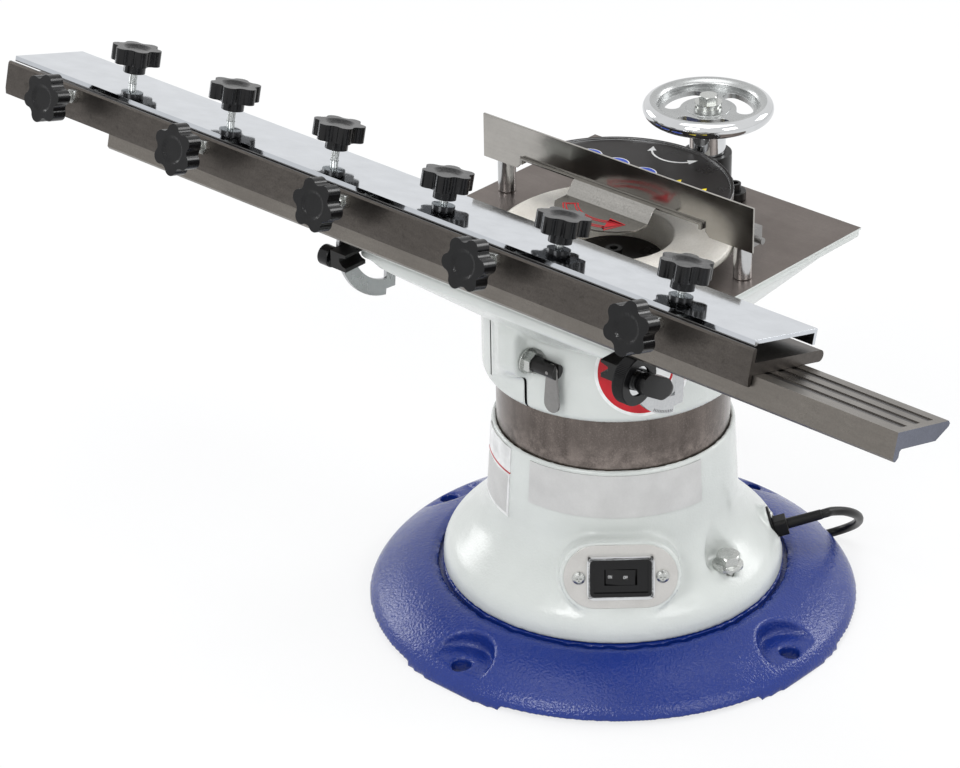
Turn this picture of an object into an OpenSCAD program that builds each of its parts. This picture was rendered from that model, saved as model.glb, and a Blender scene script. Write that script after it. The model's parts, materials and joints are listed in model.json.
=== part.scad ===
// Sharpening machine for long planer knives. Millimetres, +Z up.
// The origin is on the motor axis, at the height of the four bolt pads.
// +X runs along the slideway and -Y is the front, where the knife holder is.

/* [Base] */
// Radius of the round foot
base_r = 193; // [190:1:205]
// Radius of the edge rounding of the foot
base_round = 14; // [10:0.5:16]
// Height of the flat land above the pads
land_z = 33.4; // [32.4:0.2:34.6]
// Radius of the flat land that carries the housing
land_r = 143; // [142:0.5:146]
// Radius of the opening in the middle of the foot
base_open_r = 96; // [92:1:98]
// Wall thickness of the foot casting
base_wall = 12; // [9:1:13]
// How far the four pads reach below the rim
pad_lift = 3.5; // [2:0.5:5]
// Half of the angle that one pad spans
pad_half_angle = 14; // [12:1:18]
// Distance of the bench bolts from the edge of the foot
bench_edge = 17; // [16:0.5:19]
// Diameter of the bench bolt holes
bench_hole_d = 15; // [11:0.5:17]
// Radius of the pocket above a bench bolt
bench_pocket_r = 25; // [22:0.5:27]
// Height of the pocket floor
bench_pocket_z = 13.5; // [10:0.5:15]

/* [Lower housing] */
// Radius of the housing at its foot
foot_r = 133; // [131:0.5:135]
// Radius of the convex round above the foot
foot_round = 24; // [20:1:26]
// Height of the straight foot band
foot_band = 7; // [5:1:9]
// Radius of the neck where the flare ends
neck_r = 97.2; // [96:0.2:98]
// Height above the land where the neck starts
neck_height = 70.6; // [66:1:74]
// Radius of the housing at its top rim
housing_top_r = 93.8; // [93.4:0.2:95]
// Height of the housing above the land
housing_h = 127; // [123:1:130]
// Wall thickness of the housing flare
housing_wall = 7; // [5:0.5:8]
// Radius of the circle of flange bolts
housing_bolt_circle_r = 115; // [113:0.5:116]
// Height of a bolt pocket floor above the land
bolt_seat_h = 35; // [32:1:38]
// Radius of a bolt pocket
bolt_pocket_r = 17.5; // [15:0.5:18]

/* [Switch and cable entry] */
// Azimuth that the switch faces, degrees
switch_azimuth = -46.7; // [-50:0.5:-44]
// Backward tilt of the switch face, degrees
switch_tilt = 13; // [10:0.5:15]
// Distance of the switch face from the axis
switch_r = 118; // [117:0.5:120]
// Height of the middle of the switch face above the land
switch_h = 50.8; // [48.8:0.5:52.8]
// Width of the switch plate
switch_plate_w = 86; // [84:1:92]
// Height of the switch plate
switch_plate_h = 50; // [48:1:54]
// Thickness of the switch plate
switch_plate_t = 2; // [1.5:0.5:3]
// Azimuth that the cable entry faces, degrees
gland_azimuth = 44; // [42:0.5:46]
// Upward tilt of the cable entry, degrees
gland_tilt = 16; // [12:1:18]
// Distance of the cable entry plate from the axis
gland_r = 126.5; // [125.5:0.5:128]
// Height of the middle of the cable entry plate above the land
gland_h = 19.6; // [18.6:0.2:21.6]

/* [Column and motor] */
// Radius of the steel column
column_r = 90; // [89:0.5:91]
// Wall thickness of the column
column_wall = 5; // [4:0.5:6]
// Height above the land at which the column starts
column_seat_h = 66.6; // [64:1:68]
// Length of the column
column_len = 162; // [158:1:165]
// Height of the stator laminations
stator_h = 50; // [40:2:54]
// Inner radius of the stator
stator_bore_r = 52; // [48:1:56]
// Air gap between rotor and stator
air_gap = 0.6; // [0.4:0.1:1]
// Radius of the spindle
spindle_r = 15; // [13:0.5:17]

/* [Grinding wheel] */
// Diameter of the cup wheel
wheel_d = 178; // [174:1:181]
// Height of the cup wheel
wheel_h = 45; // [42:1:47]
// Diameter of the recess in the wheel
wheel_recess_d = 90; // [86:1:100]
// Depth of the recess in the wheel
wheel_recess_h = 26; // [24:1:28]
// Height of the wheel's face
wheel_top_z = 313.1; // [311.5:0.2:316]

/* [Head] */
// Height of the table surface
table_z = 310.8; // [309.6:0.2:312]
// Half width of the table along the slideway
table_half_x = 131.5; // [130:0.5:133]
// Distance from the axis to the front edge of the table
table_front = 139; // [138:0.5:141]
// Distance from the axis to the back edge of the table
table_back = 131.3; // [130.5:0.5:136]
// Thickness of the table's edge
table_t = 8; // [7:0.5:10]
// Outer radius of the collar that slides on the column
collar_r = 100.3; // [99.6:0.3:102]
// Height of the collar's lower rim
collar_bottom_z = 201.5; // [198:0.5:206]
// Height at which the collar spreads into the table
collar_top_z = 266; // [264:0.5:269]
// Radial gap between the table and the wheel
wheel_gap = 2.5; // [1.5:0.5:4]
// Running clearance of sliding and turning fits
run_gap = 0.08; // [0.05:0.01:0.1]
// Gap between flat faces that move past each other
face_gap = 0.3; // [0.2:0.05:0.4]

/* [Height drive] */
// Distance of the lead screw from the motor axis
screw_y = 110.2; // [110:0.2:111.2]
// Diameter of the lead screw
screw_d = 16; // [14:1:18]
// Diameter of the handwheel
handwheel_d = 100; // [90:1:106]
// Height of the middle of the handwheel's rim
handwheel_z = 378.5; // [377:0.5:385]
// Diameter of the bright sleeve under the handwheel
sleeve_d = 28; // [24:1:28]
// Height of the screw bracket's top
bracket_top_z = 342.5; // [341:0.5:343]

/* [Guard] */
// Diameter of the guard posts
post_d = 14; // [12:1:15]
// Distance of a guard post from the middle
post_x = 115.5; // [113:0.5:117]
// Height of the top of the posts
post_top_z = 362; // [355:0.5:364]
// Radius of the half round guard
guard_r = 88.8; // [87:0.2:90]
// Height of the top of the guard
guard_z = 348.5; // [347.5:0.5:349]
// Depth of the rim around the guard
guard_rim_h = 5; // [4:0.5:5.5]
// Height of the top of the deflector strip
strip_top_z = 373.5; // [371:0.5:376]
// Thickness of the deflector strip
strip_t = 1.8; // [1.2:0.2:2]

/* [Tilting slideway] */
// Tilt of the slideway in the stored pose, degrees
rest_tilt = 14.8; // [12:0.2:16]
// Y of the tilt axis
pivot_y = -92.5; // [-93.5:0.5:-91.5]
// Height of the tilt axis
pivot_z = 312; // [311:0.5:313]
// Distance of the tilt axis behind the holder's front face
pivot_v = 80.8; // [80:0.2:82]
// Distance of the tilt axis under the holder's lower edge
pivot_w = 10.2; // [9.6:0.2:11]
// Length of the slideway
slideway_len = 755.4; // [740:1:780]
// Depth of the slideway
slideway_depth = 60.9; // [59:0.5:62]
// Outer radius of the sector ring
sector_r = 58; // [57:0.2:58.2]
// Width of the sector ring
sector_w = 13; // [11:0.5:14]
// Thickness of the sector plates
sector_t = 3.2; // [2.5:0.1:3.3]

/* [Knife carriage] */
// Length of the knife carriage
carriage_len = 755.7; // [740:1:780]
// How far the carriage stands to the left of the middle
carriage_shift = 119; // [100:1:140]
// Height of the carriage's front flange
flange_h = 27; // [26:0.5:29]
// Thickness of the carriage's front flange
flange_t = 4; // [3.5:0.5:4]
// Depth of the carriage's bed
bed_depth = 84; // [82:0.5:86]
// Thickness of the carriage's bed
bed_t = 8.5; // [7.5:0.5:9]
// Height of the clamp channel's top above the holder's lower edge
channel_top_w = 31.6; // [31:0.2:34]
// Sheet thickness of the clamp channel
channel_t = 3; // [2.5:0.5:3.5]

/* [Knobs] */
// Diameter of a star knob
knob_d = 40; // [36:1:42]
// Thickness of a star knob's head
knob_head_h = 12.5; // [11:0.5:14]
// Diameter of a star knob's hub
knob_hub_d = 17.5; // [15:0.5:19]
// Height of a star knob's hub
knob_hub_h = 8; // [6:0.5:9]
// Diameter of the knobs' studs
stud_d = 6; // [5:0.5:6]
// Distance between two top knobs
top_pitch = 112; // [100:1:118]
// Distance between two front knobs
front_pitch = 148.5; // [140:0.5:155]
// Distance of a front knob's face from the flange
front_reach = 35; // [33:1:40]

/* [Tilt locks] */
// Diameter of the knurled ring of a tilt lock
lock_ring_d = 36; // [32:1:37]
// Width of the knurled ring
lock_ring_w = 10.5; // [9:0.5:12]
// Length of the lock lever
lock_lever_len = 26; // [22:1:27]

/* [Mains lead] */
// Diameter of the lead
cord_d = 7.3; // [6.8:0.1:7.6]
// Mean radius of the coil
coil_r = 40; // [38:1:41]
// Clear gap between the coil's turns
coil_gap = 0.7; // [0.6:0.1:0.8]

/* [Hidden] */
$fn = 96;
eps = 0.01;
seat_gap = 0.05;

// Heights that follow from the base
// The sloped face runs from the edge of the land and touches the edge rounding
slope_run = base_r - base_round - land_r;
base_slope = acos(base_round / norm([slope_run, land_z])) - atan2(slope_run, land_z);
bench_bolt_circle_r = base_r - bench_edge;
switch_z = land_z + switch_h;
gland_z = land_z + gland_h;
housing_top_z = land_z + housing_h;
column_z = land_z + column_seat_h;
column_top_z = column_z + column_len;
column_in_r = column_r - column_wall;
bolt_seat_z = land_z + bolt_seat_h;

// Flare of the housing: two arcs of 45 degrees joined by a straight stretch
flare_angle = 45;
foot_band_z = land_z + foot_band;
neck_z = land_z + neck_height;
flare_sum = foot_r - foot_round * (1 - cos(flare_angle)) + foot_band_z + foot_round * sin(flare_angle);
neck_round = (neck_r + neck_z - flare_sum) / (sin(flare_angle) - (1 - cos(flare_angle)));
arc_steps = 9;

// Motor and spindle levels
carrier_t = 19;
lower_bearing_h = 15;
lower_bearing_r = 26;
upper_bearing_h = 16;
upper_bearing_r = 31;
lower_carrier_z = column_z + 2;
upper_carrier_z = column_top_z - 30;
lower_bearing_z = lower_carrier_z + carrier_t - lower_bearing_h;
upper_bearing_z = upper_carrier_z + 3;
winding_h = 15;
winding_wall = 20;
stator_mid_z = (lower_carrier_z + carrier_t + upper_carrier_z) / 2 + 2;
fan_h = 9;
fan_z = lower_carrier_z + carrier_t + 3;
fan_r = 44;

// Wheel levels
wheel_r = wheel_d / 2;
wheel_z = wheel_top_z - wheel_h;
wheel_floor_z = wheel_top_z - wheel_recess_h;
wheel_bore_r = 16;
lower_flange_r = 45;
lower_flange_t = 8;
upper_disc_r = 38;
upper_disc_t = 6;
wheel_screw_r = 4;
wheel_screw_head_r = 6.5;
wheel_screw_head_h = 8;

// Head values
table_under_z = table_z - table_t;
apron_z = table_under_z - 3.3;
head_bore_r = column_r + run_gap;
chamber_r = wheel_r + wheel_gap;
clamp_y = -103;
clamp_z = 248.5;
clamp_boss_r = 14;
clamp_boss_x0 = -20;
clamp_boss_x1 = 4;
clamp_rod_r = 6;
ear_r = 12;
ear_x = table_half_x + 8.2;
pivot_bolt_r = 4;
block_x0 = table_half_x - 7.2;
block_y0 = -table_front - 21;
block_z0 = apron_z + 0.5;
block_h = 14;
lock_y = -153;
lock_z = block_z0 + 4;
lock_screw_r = 3;

// Height drive levels
screw_r = screw_d / 2;
sleeve_r = sleeve_d / 2;
nut_r = 12;
nut_h = 27;
lug_r = 17;
lug_wall_h = 30;
thrust_r = 13.5;
thrust_h = 16;
bracket_foot_r = 20.5;
bracket_foot_h = 7;
bracket_neck_r = 18.8;
bracket_lug_x = 27;
bracket_lug_r = 9;
hub_z = handwheel_z - 10;

// Sector and lock places
sector_x = ear_x + face_gap;
lock_ring_x = sector_x + sector_t + face_gap;

// Local heights of the holder parts above the carriage's lower edge
slide_top_w = 7.8;
bed_w = slide_top_w + 0.2;
bed_top_w = bed_w + bed_t;
slide_front_v = flange_t + 0.9;
slide_bottom_w = -4.8;
lip_t = 6.1;
lip_w = -13;
channel_front_v = flange_t + 0.4;
channel_back_v = 75.6;
stud_r = stud_d / 2;
top_stud_v = 44;
front_stud_w = bed_top_w + stud_r + 0.1;
carriage_x0 = -carriage_len / 2 - carriage_shift;
carriage_mid_x = -carriage_shift;
top_count = 6;
front_count = 5;
// Clear height under each top knob's hub, three raised and three nearly down
top_gaps = [9, 9, 9, 2.6, 2.6, 2.6];
top_stud_len = 25.2;
front_stud_end = 5;
nut_af = 10;
nut_t = 5;

// Cable entry and lead
gland_plate_t = 1.5;
gland_half = 18.3;
gland_w = 22;
clamp_depth = 11;
relief_len = 28;
cord_r = cord_d / 2;
// Points of the lead's free stretch after the sleeve, chosen by hand
cord_points = [[121, 124, 63], [123, 137, 58], [123, 150, 50], [119, 162, 40], [112, 172, 29],
    [103, 178, 19], [93, 179, 11], [84, 174, 6], [77, 165, 4], [69, 152, 4], [58, 138, 4], [42, 127, 4],
    [22, 121, 4], [0, 119, 4], [-30, 118, 4], [-60, 118, 4], [-77.7, 120, 4], [-88.8, 125.6, 4],
    [-97.7, 134.5, 4], [-104, 143.8, 4], [-109.4, 153.5, 4], [-113.6, 165, 4], [-116.8, 177, 4]];
coil_centre = [-170, 183];
coil_turns = 2.5;
cord_sides = 8;
coil_sides = 6;
coil_rings = 24;

// Point at radius r and height z on azimuth a
function polar(r, a, z = 0) = [r * cos(a), r * sin(a), z];

// Arc points around a centre, from angle a0 to a1
function arc(c, r, a0, a1, n) = [for (i = [0:n]) c + r * [cos(a0 + (a1 - a0) * i / n), sin(a0 + (a1 - a0) * i / n)]];

// Outer outline of the foot, moved inwards by d
function base_outline(d) = concat([[base_r - d, 0]],
    arc([base_r - base_round, 0], base_round - d, 0, 90 - base_slope, arc_steps),
    [[land_r - d * tan(base_slope / 2), land_z - d]]);

// Outer outline of the housing, moved inwards by d
function housing_outline(d) = concat([[foot_r - d, land_z], [foot_r - d, foot_band_z]],
    arc([foot_r - foot_round, foot_band_z], foot_round - d, 0, flare_angle, arc_steps),
    arc([neck_r + neck_round, neck_z], neck_round + d, 180 + flare_angle, 180, arc_steps));

module ring(r_out, r_in, h) {
    difference() {
        cylinder(r = r_out, h = h);
        translate([0, 0, -1]) cylinder(r = r_in, h = h + 2);
    }
}

module along_x(x0, len) {
    translate([x0, 0, 0]) rotate([90, 0, 90]) linear_extrude(height = len) children();
}

module x_cylinder(r, x0, x1) {
    translate([x0, 0, 0]) rotate([0, 90, 0]) cylinder(r = r, h = x1 - x0);
}

module hex(af, h) {
    cylinder(r = af / 2 / cos(30), h = h, $fn = 6);
}

// The housing is bolted down on the two sides only: the switch and the nut lug take the rest
bolt_azimuths = [0, 180];
module at_bolts(r) {
    for (a = bolt_azimuths) rotate(a) translate([r, 0, 0]) children();
}

module quarter_turns(r, a0 = 0) {
    for (i = [0:3]) rotate(a0 + 90 * i) translate([r, 0, 0]) children();
}

// Places children in the tilted frame: X along the slideway, Y into the depth, Z across it
module tilted() {
    translate([0, pivot_y, pivot_z]) rotate([-rest_tilt, 0, 0]) translate([0, -pivot_v, pivot_w]) children();
}

module both_sides() {
    children();
    mirror([1, 0, 0]) children();
}

// A frame on the housing's surface: Z points outwards, X along the skirt to the right
module on_skirt(azimuth, tilt, r, z) {
    rotate(azimuth) translate([r, 0, z]) rotate([0, 90 - tilt, 0]) rotate([0, 0, 90]) children();
}

module stadium(w, h, t) {
    linear_extrude(height = t) {
        square([w - h, h], center = true);
        translate([-(w - h) / 2, 0]) circle(d = h);
        translate([(w - h) / 2, 0]) circle(d = h);
    }
}

// Foot ring with four bolt pockets on pads, and two notches that let the lead pass under the rim
bolt_pad_r = 32;
groove_w = 3.8;
groove_r = foot_r + 0.3 + groove_w / 2;
groove_h = 5;
notch_w = cord_d + 6;
notch_h = cord_d + 4;
notch_azimuths = [64.8, 125.4];
module base_casting() {
    color([0.13, 0.2, 0.53]) difference() {
        union() {
            difference() {
                rotate_extrude() polygon(concat(base_outline(0), [[base_open_r, land_z], [base_open_r, 0]]));
                translate([0, 0, -eps]) rotate_extrude() polygon(concat(base_outline(base_wall),
                    [[base_open_r - 1, land_z - base_wall], [base_open_r - 1, 0]]));
                difference() {
                    translate([0, 0, -1]) ring(base_r + 5, base_open_r - 5, pad_lift + 1);
                    for (i = [0:3]) rotate(90 * i) linear_extrude(height = pad_lift + 1)
                        polygon([[0, 0], 300 * [1, -tan(pad_half_angle)], 300 * [1, tan(pad_half_angle)]]);
                }
            }
            intersection() {
                rotate_extrude() polygon(concat(base_outline(0), [[base_open_r, land_z], [base_open_r, 0]]));
                quarter_turns(bench_bolt_circle_r) cylinder(r = bolt_pad_r, h = land_z);
            }
            intersection() {
                rotate_extrude() polygon(concat(base_outline(0), [[base_open_r, land_z], [base_open_r, 0]]));
                at_bolts(housing_bolt_circle_r) translate([0, 0, land_z - base_wall - 8])
                    cylinder(r = 13, h = base_wall);
            }
        }
        quarter_turns(bench_bolt_circle_r) {
            translate([0, 0, -1]) cylinder(d = bench_hole_d, h = land_z + 2);
            translate([0, 0, bench_pocket_z]) cylinder(r = bench_pocket_r, h = land_z);
        }
        translate([0, 0, land_z - groove_h]) ring(groove_r + groove_w / 2, groove_r - groove_w / 2, 5);
        at_bolts(housing_bolt_circle_r) translate([0, 0, land_z - base_wall - 4])
            cylinder(r = flange_bolt_r + seat_gap, h = base_wall + 10);
        for (a = notch_azimuths) rotate(a) translate([base_r - 30, -notch_w / 2, -1])
            cube([60, notch_w, notch_h + 1]);
    }
}

// Bell-shaped housing with bolt pockets, a switch pad, a cable pad and the nut lug
switch_pad_margin = 3;
switch_hole_w = 44;
switch_hole_h = 27;
switch_screw_x = 31.5;
gland_screw_y = 11.5;
gland_hole_r = 5;
ledge_r = column_in_r - 1;
lug_z = housing_top_z - lug_wall_h;
module housing_envelope() {
    rotate_extrude() polygon(concat(housing_outline(0), [[housing_top_r, housing_top_z - 1],
        [housing_top_r - 1, housing_top_z], [0, housing_top_z], [0, land_z]]));
}
module lower_housing() {
    color([0.85, 0.87, 0.85]) difference() {
        union() {
            difference() {
                union() {
                    housing_envelope();
                    on_skirt(switch_azimuth, switch_tilt, switch_r, switch_z) translate([0, 0, -30])
                        stadium(switch_plate_w + 2 * switch_pad_margin, switch_plate_h + 2 * switch_pad_margin, 30);
                    on_skirt(gland_azimuth, gland_tilt, gland_r, gland_z) rotate([0, 0, 90])
                        translate([0, 0, -20 - gland_plate_t]) stadium(2 * gland_half + 4, gland_w + 4, 20);
                    translate([0, screw_y, lug_z]) cylinder(r = lug_r, h = lug_wall_h);
                    translate([-lug_r, 0, lug_z]) cube([2 * lug_r, screw_y, lug_wall_h]);
                }
                rotate_extrude() polygon(concat(housing_outline(housing_wall),
                    [[ledge_r, neck_z - 4], [0, neck_z - 4], [0, land_z - 1], [foot_r - housing_wall, land_z - 1]]));
                on_skirt(switch_azimuth, switch_tilt, switch_r, switch_z) translate([0, 0, -60])
                    linear_extrude(height = 60 - 8) square([switch_hole_w + 20, switch_hole_h + 8], center = true);
            }
            intersection() {
                housing_envelope();
                at_bolts(housing_bolt_circle_r) translate([0, 0, land_z])
                    cylinder(r = bolt_pocket_r + 5, h = bolt_seat_h + 26);
            }
        }
        translate([0, 0, -1]) cylinder(r = foot_r + 50, h = land_z + 1);
        translate([0, 0, column_z]) cylinder(r = column_r + seat_gap, h = housing_h);
        translate([0, 0, land_z + 1]) cylinder(r = ledge_r, h = housing_h);
        at_bolts(housing_bolt_circle_r) {
            translate([0, 0, bolt_seat_z]) cylinder(r = bolt_pocket_r, h = 60);
            translate([0, 0, land_z - 1]) cylinder(r = flange_bolt_r + seat_gap, h = 80);
        }
        on_skirt(switch_azimuth, switch_tilt, switch_r, switch_z) {
            translate([0, 0, -switch_plate_t])
                stadium(switch_plate_w + 2 * seat_gap, switch_plate_h + 2 * seat_gap, 30);
            translate([0, 0, -40]) linear_extrude(height = 40)
                square([switch_hole_w, switch_hole_h], center = true);
            for (s = [-1, 1]) translate([s * switch_screw_x, 0, -switch_plate_t - 8]) cylinder(r = 2.5, h = 20);
        }
        on_skirt(gland_azimuth, gland_tilt, gland_r, gland_z) rotate([0, 0, 90]) {
            translate([0, 0, -gland_plate_t])
                stadium(2 * gland_half + 2 * seat_gap, gland_w + 2 * seat_gap, 30);
            translate([0, 0, -30]) cylinder(r = gland_hole_r, h = 40);
            for (s = [-1, 1]) translate([s * gland_screw_y, 0, -gland_plate_t - 6]) cylinder(r = 2, h = 20);
        }
        translate([0, screw_y, lug_z - 1]) cylinder(r = nut_r + seat_gap, h = lug_wall_h + 2);
    }
}

// Flange bolts that hold the housing on the foot
flange_bolt_r = 5;
flange_bolt_flange_r = 12;
flange_bolt_af = 17;
module flange_bolt() {
    translate([0, 0, -bolt_seat_h - base_wall]) cylinder(r = flange_bolt_r, h = bolt_seat_h + base_wall + 1);
    cylinder(r = flange_bolt_flange_r, h = 2);
    translate([0, 0, 2]) cylinder(r1 = flange_bolt_flange_r, r2 = flange_bolt_af / 2, h = 1.6);
    translate([0, 0, 2]) intersection() {
        hex(flange_bolt_af, 8.5);
        cylinder(r1 = 16, r2 = flange_bolt_af / 2, h = 8.5);
    }
}
module housing_bolts() {
    color([0.75, 0.76, 0.76]) at_bolts(housing_bolt_circle_r) translate([0, 0, bolt_seat_z]) flange_bolt();
}

module switch_plate() {
    color([0.78, 0.78, 0.76]) on_skirt(switch_azimuth, switch_tilt, switch_r, switch_z) difference() {
        translate([0, 0, -switch_plate_t]) stadium(switch_plate_w, switch_plate_h, switch_plate_t);
        translate([0, 0, -10]) linear_extrude(height = 20)
            square([switch_hole_w - 2, switch_hole_h], center = true);
        for (s = [-1, 1]) translate([s * switch_screw_x, 0, -10]) cylinder(r = 2.5 + seat_gap, h = 20);
    }
}

pan_head_r = 5;
pan_head_h = 3;
module pan_screw(len) {
    difference() {
        union() {
            cylinder(r = pan_head_r, h = 1.4);
            translate([0, 0, 1.4]) cylinder(r1 = pan_head_r, r2 = pan_head_r - 2, h = pan_head_h - 1.4);
            translate([0, 0, -len]) cylinder(r = 2.4, h = len + 1);
        }
        for (a = [0, 90]) rotate(a) translate([-2.4, -0.5, pan_head_h - 1.4]) cube([4.8, 1, 3]);
    }
}
module switch_plate_screws() {
    color([0.75, 0.76, 0.76]) on_skirt(switch_azimuth, switch_tilt, switch_r, switch_z)
        for (s = [-1, 1]) translate([s * switch_screw_x, 0, 0]) pan_screw(9);
}

// Switch body with its raised frame and the well for the rocker
bezel_w = 49;
bezel_h = 32;
bezel_t = 3;
rocker_w = 24;
rocker_h = 12;
rocker_gap = 0.3;
switch_body_depth = 26;
rocker_pin_r = 1.5;
rocker_pin_w = -3;
module switch_bezel() {
    color([0.1, 0.1, 0.11]) on_skirt(switch_azimuth, switch_tilt, switch_r, switch_z) difference() {
        union() {
            linear_extrude(height = bezel_t) square([bezel_w, bezel_h], center = true);
            translate([0, 0, -switch_body_depth]) linear_extrude(height = switch_body_depth + 1)
                square([switch_hole_w - 2.4, switch_hole_h - 0.4], center = true);
        }
        translate([0, 0, bezel_t - 1.6]) linear_extrude(height = 5) square([bezel_w - 8, bezel_h - 8], center = true);
        translate([0, 0, -9]) linear_extrude(height = 20)
            square([rocker_w + 2 * rocker_gap, rocker_h + 2 * rocker_gap], center = true);
        translate([0, (rocker_h + 6) / 2, rocker_pin_w]) rotate([90, 0, 0])
            cylinder(r = rocker_pin_r + run_gap, h = rocker_h + 6);
    }
}

// Rocker: its crown is cut by two planes that meet over the pin
rocker_rock = 7;
module switch_rocker() {
    color([0.12, 0.12, 0.13]) on_skirt(switch_azimuth, switch_tilt, switch_r, switch_z) {
        translate([0, 0, rocker_pin_w]) rotate([0, -rocker_rock, 0]) {
            rotate([90, 0, 0]) translate([0, 0, -rocker_h / 2]) linear_extrude(height = rocker_h)
                polygon([[-rocker_w / 2 + 1.2, -2], [rocker_w / 2 - 1.2, -2], [rocker_w / 2 - 0.8, 3.6], [0, 5],
                    [-rocker_w / 2 + 0.8, 3.6]]);
            rotate([90, 0, 0]) translate([0, 0, -(rocker_h + 4) / 2]) cylinder(r = rocker_pin_r, h = rocker_h + 4);
        }
    }
}

module gland_plate() {
    color([0.12, 0.12, 0.12]) on_skirt(gland_azimuth, gland_tilt, gland_r, gland_z) rotate([0, 0, 90]) difference() {
        translate([0, 0, -gland_plate_t]) stadium(2 * gland_half, gland_w, gland_plate_t);
        translate([0, 0, -10]) cylinder(r = cord_r + 0.2, h = 20);
        for (s = [-1, 1]) translate([s * gland_screw_y, 0, -10]) cylinder(r = 2 + seat_gap, h = 20);
    }
}

// Block that grips the lead, with its tapered sleeve
clamp_h = 14;
clamp_w = 14;
relief_r = 4.4;
relief_end_r = cord_r + 0.35;
module cord_clamp() {
    color([0.1, 0.1, 0.1]) on_skirt(gland_azimuth, gland_tilt, gland_r, gland_z) rotate([0, 0, 90]) {
        linear_extrude(height = clamp_depth) intersection() {
            square([clamp_h, clamp_w], center = true);
            circle(r = 8.6);
        }
        cylinder(r1 = relief_r, r2 = relief_end_r, h = clamp_depth + relief_len);
    }
}

module gland_screws() {
    color([0.75, 0.76, 0.76]) on_skirt(gland_azimuth, gland_tilt, gland_r, gland_z) rotate([0, 0, 90])
        for (s = [-1, 1]) translate([s * gland_screw_y, 0, 0]) {
            translate([0, 0, -gland_plate_t - 5]) cylinder(r = 1.9, h = gland_plate_t + 6);
            cylinder(r = 3.6, h = 1.2);
            translate([0, 0, 1.2]) cylinder(r1 = 3.6, r2 = 1.8, h = 1.2);
        }
}

module column_tube() {
    color([0.25, 0.23, 0.22]) translate([0, 0, column_z]) ring(column_r, column_in_r, column_len);
}

module motor_stator() {
    color([0.55, 0.4, 0.25]) {
        translate([0, 0, stator_mid_z - stator_h / 2]) ring(column_in_r - seat_gap, stator_bore_r, stator_h);
        for (s = [-1, 1]) translate([0, 0, stator_mid_z + s * (stator_h + winding_h) / 2 - winding_h / 2 - s * eps])
            ring(stator_bore_r + 5 + winding_wall, stator_bore_r + 5, winding_h);
    }
}

module bearings() {
    color([0.7, 0.71, 0.72]) {
        translate([0, 0, lower_bearing_z]) ring(lower_bearing_r - seat_gap, spindle_r + run_gap, lower_bearing_h);
        translate([0, 0, upper_bearing_z]) ring(upper_bearing_r - seat_gap, spindle_r + run_gap, upper_bearing_h);
    }
}

module carrier(z, bearing_r, bearing_z, bearing_h) {
    difference() {
        translate([0, 0, z]) cylinder(r = column_in_r - seat_gap, h = carrier_t);
        translate([0, 0, bearing_z]) cylinder(r = bearing_r, h = bearing_h + 10);
        translate([0, 0, z - 1]) cylinder(r = spindle_r + 3, h = carrier_t + 2);
    }
}
module bearing_carriers() {
    color([0.6, 0.6, 0.6]) {
        carrier(lower_carrier_z, lower_bearing_r, lower_bearing_z, lower_bearing_h);
        carrier(upper_carrier_z, upper_bearing_r, upper_bearing_z, upper_bearing_h);
    }
}

capacitor_r = 15;
capacitor_len = 44;
module capacitor() {
    color([0.8, 0.8, 0.8]) rotate(225) translate([foot_r - housing_wall - capacitor_r - 11, 0, land_z + capacitor_r])
        rotate([90, 0, 0]) translate([0, 0, -capacitor_len / 2]) cylinder(r = capacitor_r, h = capacitor_len);
}

module lift_nut() {
    color([0.72, 0.6, 0.32]) translate([0, screw_y, lug_z]) difference() {
        union() {
            cylinder(r = nut_r, h = lug_wall_h);
            translate([0, 0, lug_wall_h]) cylinder(r = nut_r + 3, h = 3);
        }
        translate([0, 0, -1]) cylinder(r = screw_r + run_gap, h = lug_wall_h + 6);
    }
}

// Lead: a tube swept along points, with rings square to the path
function unit(v) = v / norm(v);
function tangent(p, i) = unit(p[min(i + 1, len(p) - 1)] - p[max(i - 1, 0)]);
function ring_points(p, i, r, n) = let (t = tangent(p, i), s = unit(cross([0, 0, 1], t)), u = cross(t, s))
    [for (k = [0:n - 1]) p[i] + r * (cos(360 * k / n) * s + sin(360 * k / n) * u)];
module tube(p, r, n) {
    m = len(p);
    sides = [for (i = [0:m - 2], k = [0:n - 1]) let (a = i * n + k, b = i * n + (k + 1) % n)
        each [[a, b, b + n], [a, b + n, a + n]]];
    last = (m - 1) * n;
    start = [for (k = [1:n - 2]) [0, k + 1, k]];
    end = [for (k = [1:n - 2]) [last, last + k, last + k + 1]];
    polyhedron(points = [for (i = [0:m - 1]) each ring_points(p, i, r, n)],
        faces = [for (f = concat(sides, start, end)) [f[2], f[1], f[0]]]);
}
// Smooth curve through control points, s steps a stretch
function spline_at(a, b, c, d, t) = 0.5 * ((2 * b) + (c - a) * t + (2 * a - 5 * b + 4 * c - d) * t * t
    + (3 * b - a - 3 * c + d) * t * t * t);
function spline(p, s) = let (m = len(p)) concat([for (i = [0:m - 2], k = [0:s - 1])
    spline_at(p[max(i - 1, 0)], p[i], p[i + 1], p[min(i + 2, m - 1)], k / s)], [p[m - 1]]);

gland_normal = [cos(gland_azimuth) * cos(gland_tilt), sin(gland_azimuth) * cos(gland_tilt), sin(gland_tilt)];
gland_point = polar(gland_r, gland_azimuth, gland_z);
cord_start = gland_point + (clamp_depth + relief_len) * gland_normal;
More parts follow.
